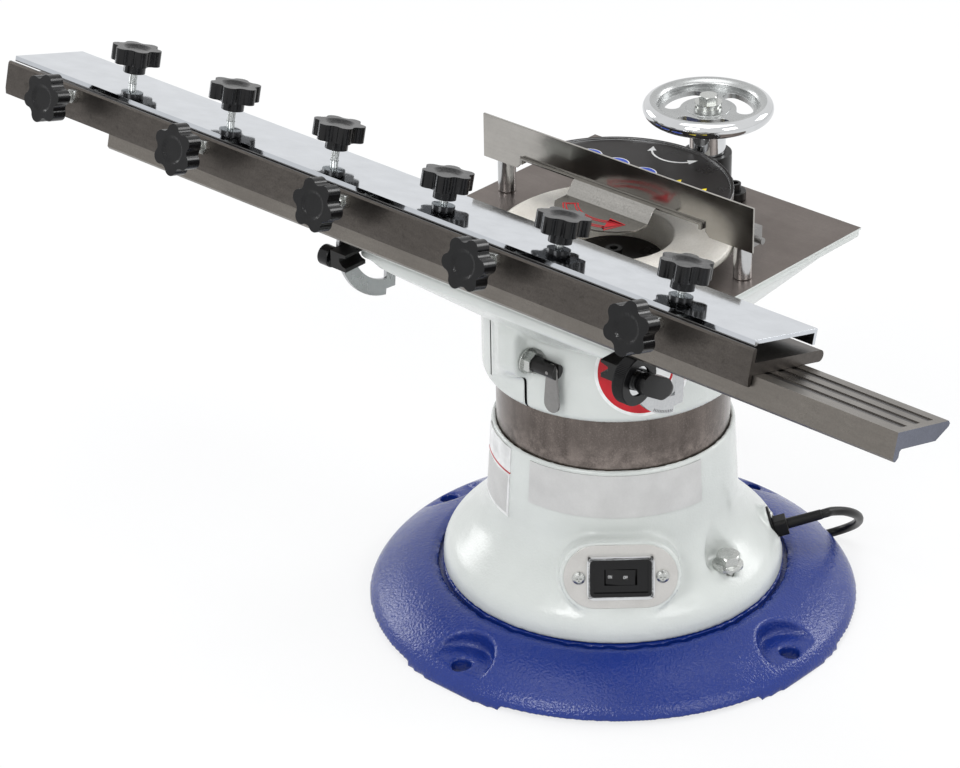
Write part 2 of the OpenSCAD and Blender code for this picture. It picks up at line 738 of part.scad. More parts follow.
// The coil starts and ends on straight leads one diameter long, along the direction of travel
coil_pitch = cord_d + coil_gap;
coil_start_r = coil_r + coil_pitch * coil_turns / 2;
coil_angle0 = 16;
coil_lift = cord_d + coil_gap;
coil_base_z = 4;
function coil_point(t) = let (half = t <= coil_turns, f = half ? t : 2 * coil_turns - t,
        climb = min(max((t - coil_turns + 0.25) / 0.5, 0), 1), a = coil_angle0 + 360 * t,
        r = coil_start_r - coil_pitch * f)
    [coil_centre[0] + r * cos(a), coil_centre[1] + r * sin(a), coil_base_z + coil_lift * climb];
coil_loop = [for (i = [0:2 * coil_turns * coil_rings]) coil_point(i / coil_rings)];
coil_in = coil_loop[0] - cord_d * unit([coil_loop[1][0] - coil_loop[0][0], coil_loop[1][1] - coil_loop[0][1], 0]);
last_loop = coil_loop[len(coil_loop) - 1];
last_step = last_loop - coil_loop[len(coil_loop) - 2];
coil_out = last_loop + cord_d * unit([last_step[0], last_step[1], 0]);
coil_path = concat([coil_in], coil_loop, [coil_out]);
echo(coil_least_gap = min([for (i = [0:3:len(coil_loop) - 1], j = [i + coil_rings / 2:len(coil_loop) - 1])
    norm(coil_loop[i] - coil_loop[j])]) - cord_d);

cord_path = concat([cord_start, cord_start + 4 * gland_normal], spline(cord_points, 2),
    [coil_in]);
module power_cord() {
    color([0.08, 0.08, 0.08]) tube(cord_path, cord_r, cord_sides);
}
module cord_coil() {
    color([0.08, 0.08, 0.08]) tube(coil_path, cord_r, coil_sides);
}

// Plug with two flat blades and an earth pin, on the end of the coil
plug_w = 30;
plug_h = 23.5;
plug_grip_len = 16;
plug_len = 42;
blade_w = 6.3;
blade_t = 1.6;
blade_len = 17;
blade_x = 6.35;
earth_r = 2.4;
module mains_plug() {
    d = unit([last_step[0], last_step[1], 0]);
    color([0.1, 0.1, 0.1]) translate([coil_out[0], coil_out[1], coil_out[2]])
        rotate(atan2(d[1], d[0])) rotate([90, 0, 90]) {
            cylinder(r1 = cord_r + 0.6, r2 = 6.5, h = plug_grip_len);
            translate([0, 0, plug_grip_len]) cylinder(r1 = 6.5, r2 = plug_h / 2, h = 10);
            translate([0, 0, plug_grip_len + 10]) stadium(plug_w, plug_h, plug_len - plug_grip_len - 10);
            for (x = [-1, 1]) translate([x * blade_x - blade_t / 2, 3.5 - blade_w / 2, plug_len - 1])
                cube([blade_t, blade_w, blade_len + 1]);
            translate([0, -6.5, plug_len - 1]) cylinder(r = earth_r, h = blade_len + 4);
        }
}

// Table, apron and split collar in one casting
tray_x = 125;
tray_back = 112;
tray_corner = 18;
slit_w = 2;
seam_w = 1.6;
seam_azimuth = -116;
seam_bottom_z = 214;
seam_top_z = 276;
module head_casting() {
    color([0.85, 0.87, 0.85]) difference() {
        union() {
            translate([-table_half_x, -table_front, table_under_z])
                cube([2 * table_half_x, table_front + table_back, table_t]);
            hull() {
                for (x = [-1, 1], y = [-table_front + 1 + tray_corner, tray_back - tray_corner])
                    translate([x * (tray_x - tray_corner), y, apron_z])
                        cylinder(r = tray_corner, h = table_under_z - apron_z + 1, $fn = 32);
                translate([0, 0, collar_top_z]) cylinder(r = collar_r, h = 1);
            }
            translate([0, 0, collar_bottom_z]) rotate_extrude() polygon(concat([[head_bore_r - 1, 0]],
                arc([collar_r - 8, 10], 8, -75, 0, 5), [[collar_r, collar_top_z - collar_bottom_z + 1],
                [head_bore_r - 1, collar_top_z - collar_bottom_z + 1]]));
            hull() {
                for (z = [clamp_z, seam_top_z - 6]) translate([0, clamp_y, z])
                    x_cylinder(clamp_boss_r, clamp_boss_x0 + 8, clamp_boss_x1, $fn = 32);
                rotate(seam_azimuth) translate([94, 0, seam_bottom_z])
                    cylinder(r = 5, h = seam_top_z - seam_bottom_z, $fn = 32);
            }
            both_sides() translate([0, pivot_y, pivot_z]) x_cylinder(ear_r, tray_x - 12, ear_x);
        }
        translate([0, 0, collar_bottom_z - 1]) cylinder(r = head_bore_r, h = 200);
        translate([0, 0, wheel_z - 8]) cylinder(r = chamber_r, h = 200);
        translate([0, clamp_y, clamp_z]) x_cylinder(clamp_rod_r + run_gap, clamp_boss_x0 + 8, clamp_boss_x1 + 1);
        translate([0, clamp_y, clamp_z]) {
            x_cylinder(10.6, clamp_boss_x1, rod_x0 + 2);
            x_cylinder(clamp_rod_r + 0.8, rod_x0, rod_x0 + 20);
        }
        translate([-slit_w / 2, -collar_r - 10, collar_bottom_z - 1]) cube([slit_w, 30, clamp_z - clamp_boss_r - collar_bottom_z]);
        rotate(seam_azimuth) translate([collar_r - 5, -seam_w / 2, seam_bottom_z])
            cube([12, seam_w, seam_top_z - seam_bottom_z]);
        both_sides() translate([0, pivot_y, pivot_z]) x_cylinder(pivot_bolt_r + run_gap, ear_x - 22, ear_x + 1);
        translate([0, screw_y, table_z - 60]) cylinder(r = thrust_r + 1, h = 61);
        both_sides() translate([post_x, post_y, table_z - 13]) cylinder(r = 4 + seat_gap, h = 20);
        both_sides() translate([bracket_lug_x, screw_y, table_z - 9]) cylinder(r = 3 + seat_gap, h = 20);
        both_sides() translate([0, block_y0 + 8, block_z0 + block_h / 2]) translate([block_x0 + 5, 0, 0])
            rotate([-90, 0, 0]) cylinder(r = 2, h = 24);
    }
}

post_y = strip_t + post_d / 2 + 0.3;
module guard_posts() {
    color([0.8, 0.8, 0.82]) both_sides() translate([post_x, post_y, table_z]) {
        cylinder(d = post_d, h = post_top_z - table_z);
        translate([0, 0, -12]) cylinder(r = 4, h = 13);
    }
}

// Black blocks on the apron that carry the tilt locks
block_groove_d = 6.5;
block_groove_h = 7;
module clamp_blocks() {
    color([0.1, 0.1, 0.1]) both_sides() difference() {
        translate([block_x0, block_y0, block_z0]) cube([ear_x - block_x0, -table_front - block_y0, block_h]);
        translate([0, 0, block_z0 + 5]) rotate([-90, 0, 0]) translate([0, 0, block_y0 - 1])
            linear_extrude(height = 40) polygon([[block_x0 - 1, 2], [block_x0 + block_groove_d - 3, 1],
                [block_x0 + block_groove_d, -2], [block_x0 + block_groove_d, -block_groove_h + 2],
                [block_x0 - 1, -block_groove_h]]);
        translate([0, lock_y, lock_z]) x_cylinder(lock_screw_r + run_gap, block_x0 + block_groove_d + 0.5, ear_x + 1);
    }
}

// Bracket that holds the collar of the lead screw down on the table
module screw_bracket() {
    color([0.16, 0.15, 0.15]) translate([0, screw_y, 0]) difference() {
        union() {
            translate([0, 0, table_z]) cylinder(r = bracket_foot_r, h = bracket_foot_h);
            translate([0, 0, table_z]) cylinder(r = bracket_neck_r, h = bracket_top_z - table_z);
            translate([-bracket_lug_x, -bracket_lug_r, table_z]) cube([2 * bracket_lug_x, 2 * bracket_lug_r, bracket_foot_h]);
            both_sides() translate([bracket_lug_x, 0, table_z]) cylinder(r = bracket_lug_r, h = bracket_foot_h);
        }
        translate([0, 0, table_z - 1]) cylinder(r = thrust_r + 0.5, h = thrust_h + 1 + 2 * face_gap);
        translate([0, 0, table_z]) cylinder(r = screw_r + 0.5, h = 80);
        both_sides() translate([bracket_lug_x, 0, table_z - 1]) cylinder(r = 3 + seat_gap, h = 20);
    }
}
module bracket_screws() {
    color([0.15, 0.15, 0.15]) translate([0, screw_y, table_z]) both_sides() translate([bracket_lug_x, 0, 0])
        difference() {
            union() {
                translate([0, 0, -8]) cylinder(r = 3, h = 9 + bracket_foot_h);
                translate([0, 0, bracket_foot_h]) cylinder(r = 5, h = 6);
            }
            translate([0, 0, bracket_foot_h + 3]) hex(5, 5);
        }
}

module clamp_washer() {
    color([0.75, 0.76, 0.76]) translate([0, clamp_y, clamp_z]) difference() {
        union() {
            x_cylinder(10, clamp_boss_x1, clamp_boss_x1 + 2);
            translate([clamp_boss_x1 + 2, 0, 0]) rotate([0, 90, 0]) hex(15, 7);
        }
        x_cylinder(clamp_rod_r + run_gap, clamp_boss_x1 - 1, clamp_boss_x1 + 20);
    }
}

module pivot_bolts() {
    color([0.75, 0.76, 0.76]) both_sides() translate([0, pivot_y, pivot_z]) {
        x_cylinder(pivot_bolt_r, ear_x - 20, sector_x + sector_t + 1);
        translate([sector_x + sector_t + face_gap, 0, 0]) rotate([0, 90, 0]) hex(13, 5.3);
    }
}

// Dished handwheel with three bean-shaped openings
rim_w = 12.5;
web_r = handwheel_d / 2 - rim_w;
web_t = 4;
web_drop = 4.6;
hub_r = 17;
slot_mid_r = 28;
slot_r = 6.5;
slot_half_angle = 30;
hub_bolt_r = 4;
hub_top_z = handwheel_z - web_drop + web_t + 0.4;
module handwheel() {
    color([0.78, 0.79, 0.8]) translate([0, screw_y, handwheel_z]) difference() {
        union() {
            rotate_extrude() translate([web_r + rim_w / 2, 0]) intersection() {
                circle(d = rim_w);
                translate([-rim_w / 2 + 0.8, -rim_w]) square(2 * rim_w);
            }
            translate([0, 0, -web_drop]) cylinder(r = web_r + 4, h = web_t);
            translate([0, 0, hub_z - handwheel_z]) cylinder(r = hub_r, h = hub_top_z - hub_z);
        }
        for (i = [0:2]) rotate(120 * i + 30) {
            translate([0, 0, -20]) rotate_extrude(angle = 2 * slot_half_angle)
                translate([slot_mid_r - slot_r, 0]) square([2 * slot_r, 40]);
            for (a = [0, 2 * slot_half_angle]) rotate(a) translate([slot_mid_r, 0, -20]) cylinder(r = slot_r, h = 40);
        }
        translate([0, 0, -20]) cylinder(r = hub_bolt_r + seat_gap, h = 40);
    }
}

screw_end_z = lug_z - 20;
module lead_screw() {
    color([0.72, 0.72, 0.73]) translate([0, screw_y, 0]) difference() {
        union() {
            translate([0, 0, screw_end_z]) cylinder(r = screw_r, h = hub_z - screw_end_z - 1);
            translate([0, 0, bracket_top_z + face_gap]) cylinder(r = sleeve_r, h = hub_z - bracket_top_z - face_gap);
            translate([0, 0, table_z + face_gap]) cylinder(r = thrust_r, h = thrust_h);
        }
        translate([0, 0, hub_z - 20]) cylinder(r = hub_bolt_r + seat_gap, h = 30);
    }
}

module handwheel_bolt() {
    color([0.78, 0.78, 0.75]) translate([0, screw_y, hub_top_z]) {
        translate([0, 0, -24]) cylinder(r = hub_bolt_r, h = 26);
        cylinder(r = 10.5, h = 1.6);
        translate([0, 0, 1.6]) cylinder(r = 9, h = 2.2);
        translate([0, 0, 3.8]) cylinder(r = 10.5, h = 1.6);
        translate([0, 0, 5.4]) intersection() {
            hex(13, 5.3);
            cylinder(r1 = 12, r2 = 6.6, h = 5.3);
        }
    }
}

hub_flange_z = wheel_z - lower_flange_t;
module spindle_shaft() {
    color([0.7, 0.7, 0.71]) difference() {
        union() {
            translate([0, 0, lower_carrier_z - 4]) cylinder(r = spindle_r, h = wheel_z - 3 - lower_carrier_z + 4);
            translate([0, 0, wheel_z - 3 - eps]) cylinder(r = wheel_bore_r - 4, h = wheel_floor_z - wheel_z + 2);
        }
        translate([0, 0, wheel_floor_z - 26]) cylinder(r = wheel_screw_r + seat_gap, h = 40);
    }
}

module motor_rotor() {
    color([0.5, 0.5, 0.52]) translate([0, 0, stator_mid_z - stator_h / 2])
        ring(stator_bore_r - air_gap, spindle_r + seat_gap, stator_h);
}

module cooling_fan() {
    color([0.2, 0.2, 0.22]) translate([0, 0, fan_z]) {
        ring(spindle_r + 6, spindle_r + seat_gap, fan_h);
        translate([0, 0, 0.6]) ring(fan_r, spindle_r + 3, 1.6);
        for (i = [0:6]) rotate(360 / 7 * i) translate([spindle_r + 3, -0.8, 1.2])
            cube([fan_r - spindle_r - 5, 1.6, fan_h - 1.8]);
    }
}

// Flange under the wheel
module wheel_flange() {
    color([0.22, 0.2, 0.2]) difference() {
        union() {
            translate([0, 0, hub_flange_z]) cylinder(r = lower_flange_r, h = lower_flange_t);
            translate([0, 0, column_top_z - 9]) cylinder(r = 22, h = hub_flange_z - column_top_z + 10);
            translate([0, 0, wheel_z - 1]) cylinder(r = wheel_bore_r, h = wheel_floor_z - wheel_z);
        }
        translate([0, 0, column_top_z - 10]) cylinder(r = spindle_r + seat_gap, h = wheel_z - 3 - column_top_z + 10);
        translate([0, 0, column_top_z - 10]) cylinder(r = wheel_bore_r - 4 + seat_gap, h = 80);
    }
}

// Dark disc that presses the wheel onto its flange
module wheel_disc() {
    color([0.22, 0.2, 0.2]) translate([0, 0, wheel_floor_z]) ring(upper_disc_r, wheel_screw_r + seat_gap, upper_disc_t);
}

module grinding_wheel() {
    color([0.9, 0.88, 0.84]) translate([0, 0, wheel_z]) difference() {
        cylinder(r = wheel_r, h = wheel_h);
        translate([0, 0, wheel_h - wheel_recess_h]) cylinder(r = wheel_recess_d / 2, h = wheel_recess_h + 1);
        translate([0, 0, -1]) cylinder(r = wheel_bore_r + seat_gap, h = wheel_h);
    }
}

module wheel_screw() {
    color([0.2, 0.2, 0.2]) translate([0, 0, wheel_floor_z + upper_disc_t]) difference() {
        union() {
            translate([0, 0, -28]) cylinder(r = wheel_screw_r, h = 29);
            cylinder(r = wheel_screw_head_r, h = wheel_screw_head_h);
        }
        translate([0, 0, wheel_screw_head_h - 4]) hex(6, 5);
    }
}

// Deflector strip: full height at its end tabs, raised lower edge over the guard
strip_half_x = table_half_x - 0.5;
guard_x = -3;
guard_y = 4;
tab_x = guard_r + 1.2;
tab_bottom_z = guard_z - 10.8;
module deflector_strip() {
    color([0.5, 0.48, 0.46]) translate([0, strip_t, 0]) rotate([90, 0, 0]) linear_extrude(height = strip_t)
        polygon([[-strip_half_x, tab_bottom_z], [guard_x - tab_x - 4, tab_bottom_z],
            [guard_x - tab_x, tab_bottom_z + 4], [guard_x - tab_x, guard_z], [guard_x + tab_x, guard_z],
            [guard_x + tab_x, tab_bottom_z + 4], [guard_x + tab_x + 4, tab_bottom_z],
            [strip_half_x, tab_bottom_z], [strip_half_x, strip_top_z], [-strip_half_x, strip_top_z]]);
}

// Half round guard with a rolled rim, and a tongue that steps down over the wheel
guard_t = 1.5;
guard_front_y = -3;
rim_lift = 1.5;
rim_band = 2.6;
tongue_mid_x = 3.7;
tongue_half_x = 39.5;
tongue_drop = 10;
tongue_r = 46.5;
step_len = 11;
step_n = 10;
function step_z(t) = guard_z - tongue_drop * (1 - cos(180 * t)) / 2;
module wheel_guard() {
    step = [for (i = [0:step_n]) [guard_front_y - step_len * i / step_n, step_z(i / step_n)]];
    color([0.12, 0.11, 0.11]) {
        intersection() {
            translate([guard_x, guard_y, guard_z - guard_rim_h]) difference() {
                cylinder(r = guard_r, h = guard_rim_h);
                translate([0, 0, -1]) cylinder(r = guard_r - rim_band, h = guard_rim_h - guard_t + 1);
            }
            translate([-200, guard_front_y, 0]) cube([400, 400, 400]);
        }
        intersection() {
            translate([guard_x, guard_y, guard_z - 1]) ring(guard_r, guard_r - rim_band, 1 + rim_lift);
            translate([-200, strip_t + 0.6, 0]) cube([400, 400, 400]);
        }
        translate([tongue_mid_x, 0, 0]) along_x(-tongue_half_x, 2 * tongue_half_x) polygon(concat(
            [[guard_front_y + 1, guard_z]], step, [for (i = [step_n:-1:0]) [step[i][0] - guard_t * 0.6 * sin(180 * i / step_n),
            step[i][1] - guard_t]], [[guard_front_y + 1, guard_z - guard_t]]));
        translate([tongue_mid_x, 0, guard_z - tongue_drop - guard_t]) linear_extrude(height = guard_t) intersection() {
            translate([-tongue_half_x, -tongue_r - 1])
                square([2 * tongue_half_x, tongue_r + 1 + guard_front_y - step_len + 1]);
            translate([0, -1]) circle(r = tongue_r);
        }
    }
}

// Clamps that grip the posts behind the strip
clamp_block_h = 14;
clamp_block_z = guard_z - 10.5;
module guard_clamps() {
    color([0.45, 0.44, 0.43]) both_sides() difference() {
        union() {
            translate([post_x - 10, strip_t, clamp_block_z]) cube([20, post_y + 9 - strip_t, clamp_block_h]);
            translate([0, post_y, clamp_block_z + clamp_block_h / 2]) x_cylinder(2.5, post_x + 9, strip_half_x + 2.5);
        }
        translate([post_x, post_y, 0]) cylinder(r = post_d / 2 + run_gap, h = 400);
    }
}

// Clamp screw: shank in the boss, black rod with a fork for the flap
rod_x0 = clamp_boss_x1 + 10;
rod_x1 = rod_x0 + 20;
flap_t = 2;
flap_len = 40;
flap_w = 14;
flap_pin_x = rod_x1 - 5.5;
module clamp_handle() {
    color([0.12, 0.12, 0.12]) translate([0, clamp_y, clamp_z]) difference() {
        union() {
            x_cylinder(clamp_rod_r, clamp_boss_x0 + 9, rod_x0 + 1);
            x_cylinder(clamp_rod_r, rod_x0, rod_x1);
        }
        translate([rod_x1 - 13, -flap_t / 2 - face_gap, -20]) cube([20, flap_t + 2 * face_gap, 40]);
        translate([flap_pin_x, 20, 0]) rotate([90, 0, 0]) cylinder(r = 1.5 - run_gap, h = 40);
    }
}
// Flap with its cross pin, hanging from the fork
module clamp_flap() {
    color([0.5, 0.5, 0.49]) translate([flap_pin_x, clamp_y, clamp_z]) {
        translate([0, flap_t / 2, 0]) rotate([90, 0, 0]) linear_extrude(height = flap_t) {
            circle(r = 5);
            polygon([[-4.6, 0], [4.6, 0], [flap_w / 2, -flap_len + flap_w], [flap_w / 2, -flap_len + flap_w / 2 + 5],
                [-flap_w / 2, -flap_len + flap_w / 2 + 5], [-flap_w / 2, -flap_len + flap_w]]);
            translate([0, -flap_len + flap_w / 2 + 5]) circle(r = flap_w / 2);
        }
        translate([0, clamp_rod_r, 0]) rotate([90, 0, 0]) cylinder(r = 1.5 - 2 * run_gap, h = 2 * clamp_rod_r);
    }
}

// Slideway bar with a front lip, a dovetailed back edge and three shallow grooves
slide_back_v = slide_front_v + slideway_depth;
slide_groove_w = 7;
slide_groove_h = 0.8;
slide_groove_end = 6;
module slideway() {
    color([0.5, 0.48, 0.46]) tilted() difference() {
        along_x(-slideway_len / 2, slideway_len) polygon([
            [slide_front_v, slide_top_w], [slide_back_v - 2, slide_top_w], [slide_back_v, slide_top_w - 2],
            [slide_back_v - 0.8, slide_top_w - 4.2], [slide_back_v - 13.6, slide_bottom_w],
            [slide_front_v + lip_t + 1.5, slide_bottom_w], [slide_front_v + lip_t, slide_bottom_w - 1.5],
            [slide_front_v + lip_t, lip_w + 2.5], [slide_front_v + lip_t - 2.5, lip_w],
            [slide_front_v + 2, lip_w], [slide_front_v, lip_w + 2]]);
        for (k = [1:3]) translate([-slideway_len / 2 + slide_groove_end,
            slide_front_v + slideway_depth * k / 4 - slide_groove_w / 2, slide_top_w - slide_groove_h])
            cube([slideway_len - 2 * slide_groove_end, slide_groove_w, 5]);
        both_sides() for (v = sector_screw_v) translate([sector_x - 12, v, slide_bottom_w - 1])
            cylinder(r = 2 + seat_gap, h = 9);
    }
}

// Sector: ring and arm in one plate, with a foot under the slideway
sector_ring_end = 260;
sector_ring_start = 176;
arm_w = 10;
sector_hub_r = 10;
foot_t = 3.2;
foot_v0 = 24;
foot_v1 = 58;
sector_screw_v = [30, 48];
module sector_plate() {
    rotate([90, 0, 90]) linear_extrude(height = sector_t) difference() {
        union() {
            difference() {
                circle(r = sector_r);
                circle(r = sector_r - sector_w);
                polygon([[0, 0], 100 * [cos(sector_ring_start), sin(sector_ring_start)], [-100, 100], [100, 100],
                    [100, -100], 100 * [cos(sector_ring_end), sin(sector_ring_end)]]);
            }
            rotate(sector_ring_end + 5) translate([0, -arm_w / 2]) square([sector_r - 5, arm_w]);
            circle(r = sector_hub_r);
            rotate(-rest_tilt) {
                translate([foot_v0 - pivot_v, pivot_w + slide_bottom_w - 10]) square([foot_v1 - foot_v0 + 14, 10]);
                intersection() {
                    translate([foot_v0 - pivot_v, pivot_w + slide_bottom_w - 24]) square([11, 24]);
                    circle(r = sector_r - 0.4);
                }
                translate([foot_v1 - pivot_v, -6]) square([pivot_v - foot_v1, 7]);
            }
        }
        circle(r = pivot_bolt_r + run_gap);
    }
}
module tilt_sectors() {
    color([0.55, 0.55, 0.54]) both_sides() {
        translate([sector_x, pivot_y, pivot_z]) sector_plate();
        tilted() difference() {
            translate([sector_x - 20, foot_v0, slide_bottom_w - foot_t]) cube([21, foot_v1 - foot_v0, foot_t]);
            for (v = sector_screw_v) translate([sector_x - 12, v, slide_bottom_w - 10]) cylinder(r = 2 + seat_gap, h = 20);
        }
    }
}
module sector_screws() {
    color([0.75, 0.76, 0.76]) tilted() both_sides() for (v = sector_screw_v)
        translate([sector_x - 12, v, slide_bottom_w - foot_t]) {
            translate([0, 0, -3]) cylinder(r = 3.8, h = 3);
            cylinder(r = 2, h = foot_t + 7);
        }
}

// Tilt lock: screw, knurled ring, bright cup and pear-shaped lever
lock_cup_r = 11;
lock_lever_angle = -29.5;
lock_hub_w = 5;
module tilt_lock() {
    translate([0, lock_y, lock_z]) {
        x_cylinder(lock_screw_r, block_x0 + block_groove_d + 1, lock_ring_x + 1);
        difference() {
            x_cylinder(lock_ring_d / 2, lock_ring_x, lock_ring_x + lock_ring_w);
            x_cylinder(lock_cup_r, lock_ring_x + lock_ring_w - 3, lock_ring_x + lock_ring_w + 1);
        }
        x_cylinder(7, lock_ring_x + lock_ring_w - 4, lock_ring_x + lock_ring_w + lock_hub_w);
        translate([lock_ring_x + lock_ring_w + lock_hub_w, 0, 0]) rotate([lock_lever_angle, 0, 0]) hull() {
            translate([-1.5, 0, 0]) rotate([0, 90, 0]) cylinder(r = 8, h = 6, $fn = 32);
            translate([0, lock_lever_len - 12, 0]) rotate([0, 90, 0]) cylinder(r = 8.2, h = 7, $fn = 32);
            translate([1, lock_lever_len - 4, 0]) rotate([0, 90, 0]) cylinder(r = 5, h = 4.5, $fn = 32);
        }
    }
}
// The left end has a plain round nut in place of the lever
left_nut_d = 16; // [12:1:24]
left_nut_w = 10; // [8:0.5:12]
module left_tilt_lock() {
    color([0.1, 0.1, 0.1]) mirror([1, 0, 0]) translate([0, lock_y, lock_z]) {
        x_cylinder(lock_screw_r, block_x0 + block_groove_d + 1, lock_ring_x + 1);
        x_cylinder(left_nut_d / 2, lock_ring_x, lock_ring_x + left_nut_w);
    }
}
module right_tilt_lock() {
    color([0.1, 0.1, 0.1]) tilt_lock();
}

// Knife carriage: front flange with a bevelled foot, bed with a rounded nose
function top_x(i) = carriage_mid_x + (i - (top_count + 1) / 2) * top_pitch;
function front_x(i) = carriage_mid_x + (i - (front_count + 1) / 2) * front_pitch;
module knife_carriage() {
    color([0.33, 0.31, 0.3]) tilted() difference() {
        along_x(carriage_x0, carriage_len) {
            polygon([[1.2, 0], [flange_t, 0], [flange_t, flange_h - 1.2], [flange_t - 1.2, flange_h], [1, flange_h],
                [0, flange_h - 1.6], [0, 5]]);
            translate([flange_t - 1, bed_w]) square([bed_depth - bed_t / 2 - flange_t + 1, bed_t]);
            translate([bed_depth - bed_t / 2, bed_w + bed_t / 2]) circle(r = bed_t / 2);
        }
        for (i = [1:front_count]) translate([front_x(i), -1, front_stud_w]) rotate([-90, 0, 0])
            cylinder(r = stud_r + run_gap, h = flange_t + 2);
        for (i = [1:top_count]) translate([top_x(i), top_stud_v, bed_w - 1])
            cylinder(r = stud_r + run_gap, h = bed_t + 2);
    }
}
module front_lock_nuts() {
    color([0.75, 0.76, 0.76]) tilted() for (i = [1:front_count]) translate([front_x(i), -nut_t, front_stud_w])
        rotate([-90, 0, 0]) difference() {
            hex(nut_af, nut_t);
            translate([0, 0, -1]) cylinder(r = stud_r + run_gap, h = nut_t + 2);
        }
}

channel_end = 3;
channel_front_w = 22;
channel_back_w = 20;
module clamp_channel() {
    color([0.77, 0.78, 0.8]) tilted() difference() {
        along_x(carriage_x0 + channel_end, carriage_len - 2 * channel_end) polygon([
            [channel_front_v, channel_top_w], [channel_back_v, channel_top_w], [channel_back_v, channel_back_w],
            [channel_back_v - channel_t, channel_back_w], [channel_back_v - channel_t, channel_top_w - channel_t],
            [channel_front_v + channel_t, channel_top_w - channel_t], [channel_front_v + channel_t, flange_h + 0.3],
            [channel_front_v, flange_h + 0.3]]);
        for (i = [1:top_count]) translate([top_x(i), top_stud_v, channel_top_w - channel_t - 1])
            cylinder(r = stud_r + 0.4, h = channel_t + 2);
    }
}

// Six-lobed knob: hub, dished head and stud, with the hub's lower face at the origin
lobe_r = 6;
module star_knob(stud_len) {
    difference() {
        translate([0, 0, knob_hub_h]) linear_extrude(height = knob_head_h) difference() {
            union() {
                circle(r = knob_d / 2 - 3.5);
                for (i = [0:5]) rotate(60 * i) translate([knob_d / 2 - lobe_r, 0]) circle(r = lobe_r);
            }
            for (i = [0:5]) rotate(60 * i + 30) translate([knob_d / 2 + 0.6, 0]) circle(r = 5);
        }
        translate([0, 0, knob_hub_h + knob_head_h - 2]) cylinder(r1 = 8, r2 = 11.5, h = 2 + eps);
    }
    cylinder(d = knob_hub_d, h = knob_hub_h + 1);
    translate([0, 0, -stud_len]) cylinder(r = stud_r, h = stud_len + 1);
}
module top_knob(i) {
    color([0.08, 0.08, 0.09]) tilted() translate([top_x(i), top_stud_v, channel_top_w + top_gaps[i - 1]])
        rotate(30 * i) star_knob(top_stud_len);
}
module front_knob(i) {
    color([0.08, 0.08, 0.09]) tilted() translate([front_x(i), -front_reach + knob_head_h + knob_hub_h, front_stud_w])
        rotate([90, 0, 0]) rotate(17 * i) star_knob(front_reach - knob_head_h - knob_hub_h + flange_t + front_stud_end);
}

base_casting();
lower_housing();
housing_bolts();
switch_plate();
switch_plate_screws();
switch_bezel();
switch_rocker();
gland_plate();
cord_clamp();
gland_screws();
column_tube();
motor_stator();
bearings();
bearing_carriers();
capacitor();
lift_nut();
power_cord();
cord_coil();
mains_plug();
head_casting();
guard_posts();
clamp_blocks();
screw_bracket();
bracket_screws();
clamp_washer();
pivot_bolts();
handwheel();
lead_screw();
handwheel_bolt();
spindle_shaft();
motor_rotor();
cooling_fan();
wheel_flange();
wheel_disc();
grinding_wheel();
wheel_screw();
deflector_strip();
wheel_guard();
guard_clamps();
clamp_handle();
clamp_flap();
slideway();
tilt_sectors();
sector_screws();
left_tilt_lock();
right_tilt_lock();
knife_carriage();
front_lock_nuts();
clamp_channel();
for (i = [1:top_count]) top_knob(i);
for (i = [1:front_count]) front_knob(i);
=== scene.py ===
"""Builds the shown model of a planer knife grinder round its CAD frame, as an add-on of small operators."""

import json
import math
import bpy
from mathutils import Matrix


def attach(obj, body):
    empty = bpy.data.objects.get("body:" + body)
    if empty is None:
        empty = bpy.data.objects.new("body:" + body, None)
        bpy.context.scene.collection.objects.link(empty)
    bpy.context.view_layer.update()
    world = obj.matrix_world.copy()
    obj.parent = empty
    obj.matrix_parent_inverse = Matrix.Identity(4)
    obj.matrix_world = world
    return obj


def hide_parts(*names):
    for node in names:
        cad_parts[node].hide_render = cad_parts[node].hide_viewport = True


bl_info = {
    "name": "Planer Knife Grinder",
    "version": (1, 0, 0),
    "blender": (4, 5, 0),
    "location": "View3D > Sidebar > Grinder",
    "description": "Castings, steel, plastics and labels of a bench grinder for planer knives",
    "category": "Object",
}

import bmesh
import bpy
from bpy.props import FloatProperty, FloatVectorProperty, PointerProperty
from bpy.types import Operator, Panel, PropertyGroup
from mathutils import Matrix, Vector

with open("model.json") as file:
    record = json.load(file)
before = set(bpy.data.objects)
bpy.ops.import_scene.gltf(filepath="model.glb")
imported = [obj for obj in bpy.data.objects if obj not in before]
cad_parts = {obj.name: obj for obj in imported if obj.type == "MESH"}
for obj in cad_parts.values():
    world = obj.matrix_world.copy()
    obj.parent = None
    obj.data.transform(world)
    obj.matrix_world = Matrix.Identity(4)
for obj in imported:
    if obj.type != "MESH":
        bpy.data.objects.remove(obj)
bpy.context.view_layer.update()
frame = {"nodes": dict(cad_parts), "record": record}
MM = 0.001

# Places that the solids share, in millimetres
COLUMN_R = 90.0
COLLAR_R = 100.3
TABLE_Z = 310.8
SCREW_Y = 110.2
GUARD_Z = 348.5
GUARD_AT = (-3.0, 4.0)
GUARD_R = 88.8
TONGUE_DROP = 10.0
TILT = math.radians(14.8)
PIVOT = (0.0, -92.5, 312.0)
PIVOT_V = 80.8
PIVOT_W = 10.2
CHANNEL_TOP = 31.6
STUD_V = 44.0
FRONT_W = 19.6
CARRIAGE_MID = -119.0
TOP_PITCH = 112.0
FRONT_PITCH = 148.5
TOP_GAPS = (9, 9, 9, 2.6, 2.6, 2.6)
SWITCH_AT = (-46.7, 13.0, 118.0, 84.2)
GLAND_AT = (44.0, 16.0, 126.5, 53.0)
CORD_R = 3.65
CROWN = 4.0
LOCK = (-153.0, 304.0)
SEAM_AZIMUTH = -116.0
FOOT_R = 133.0
LAND_Z = 33.4
SECTOR_FACE = 143.25
WAIST_Z = 104.0
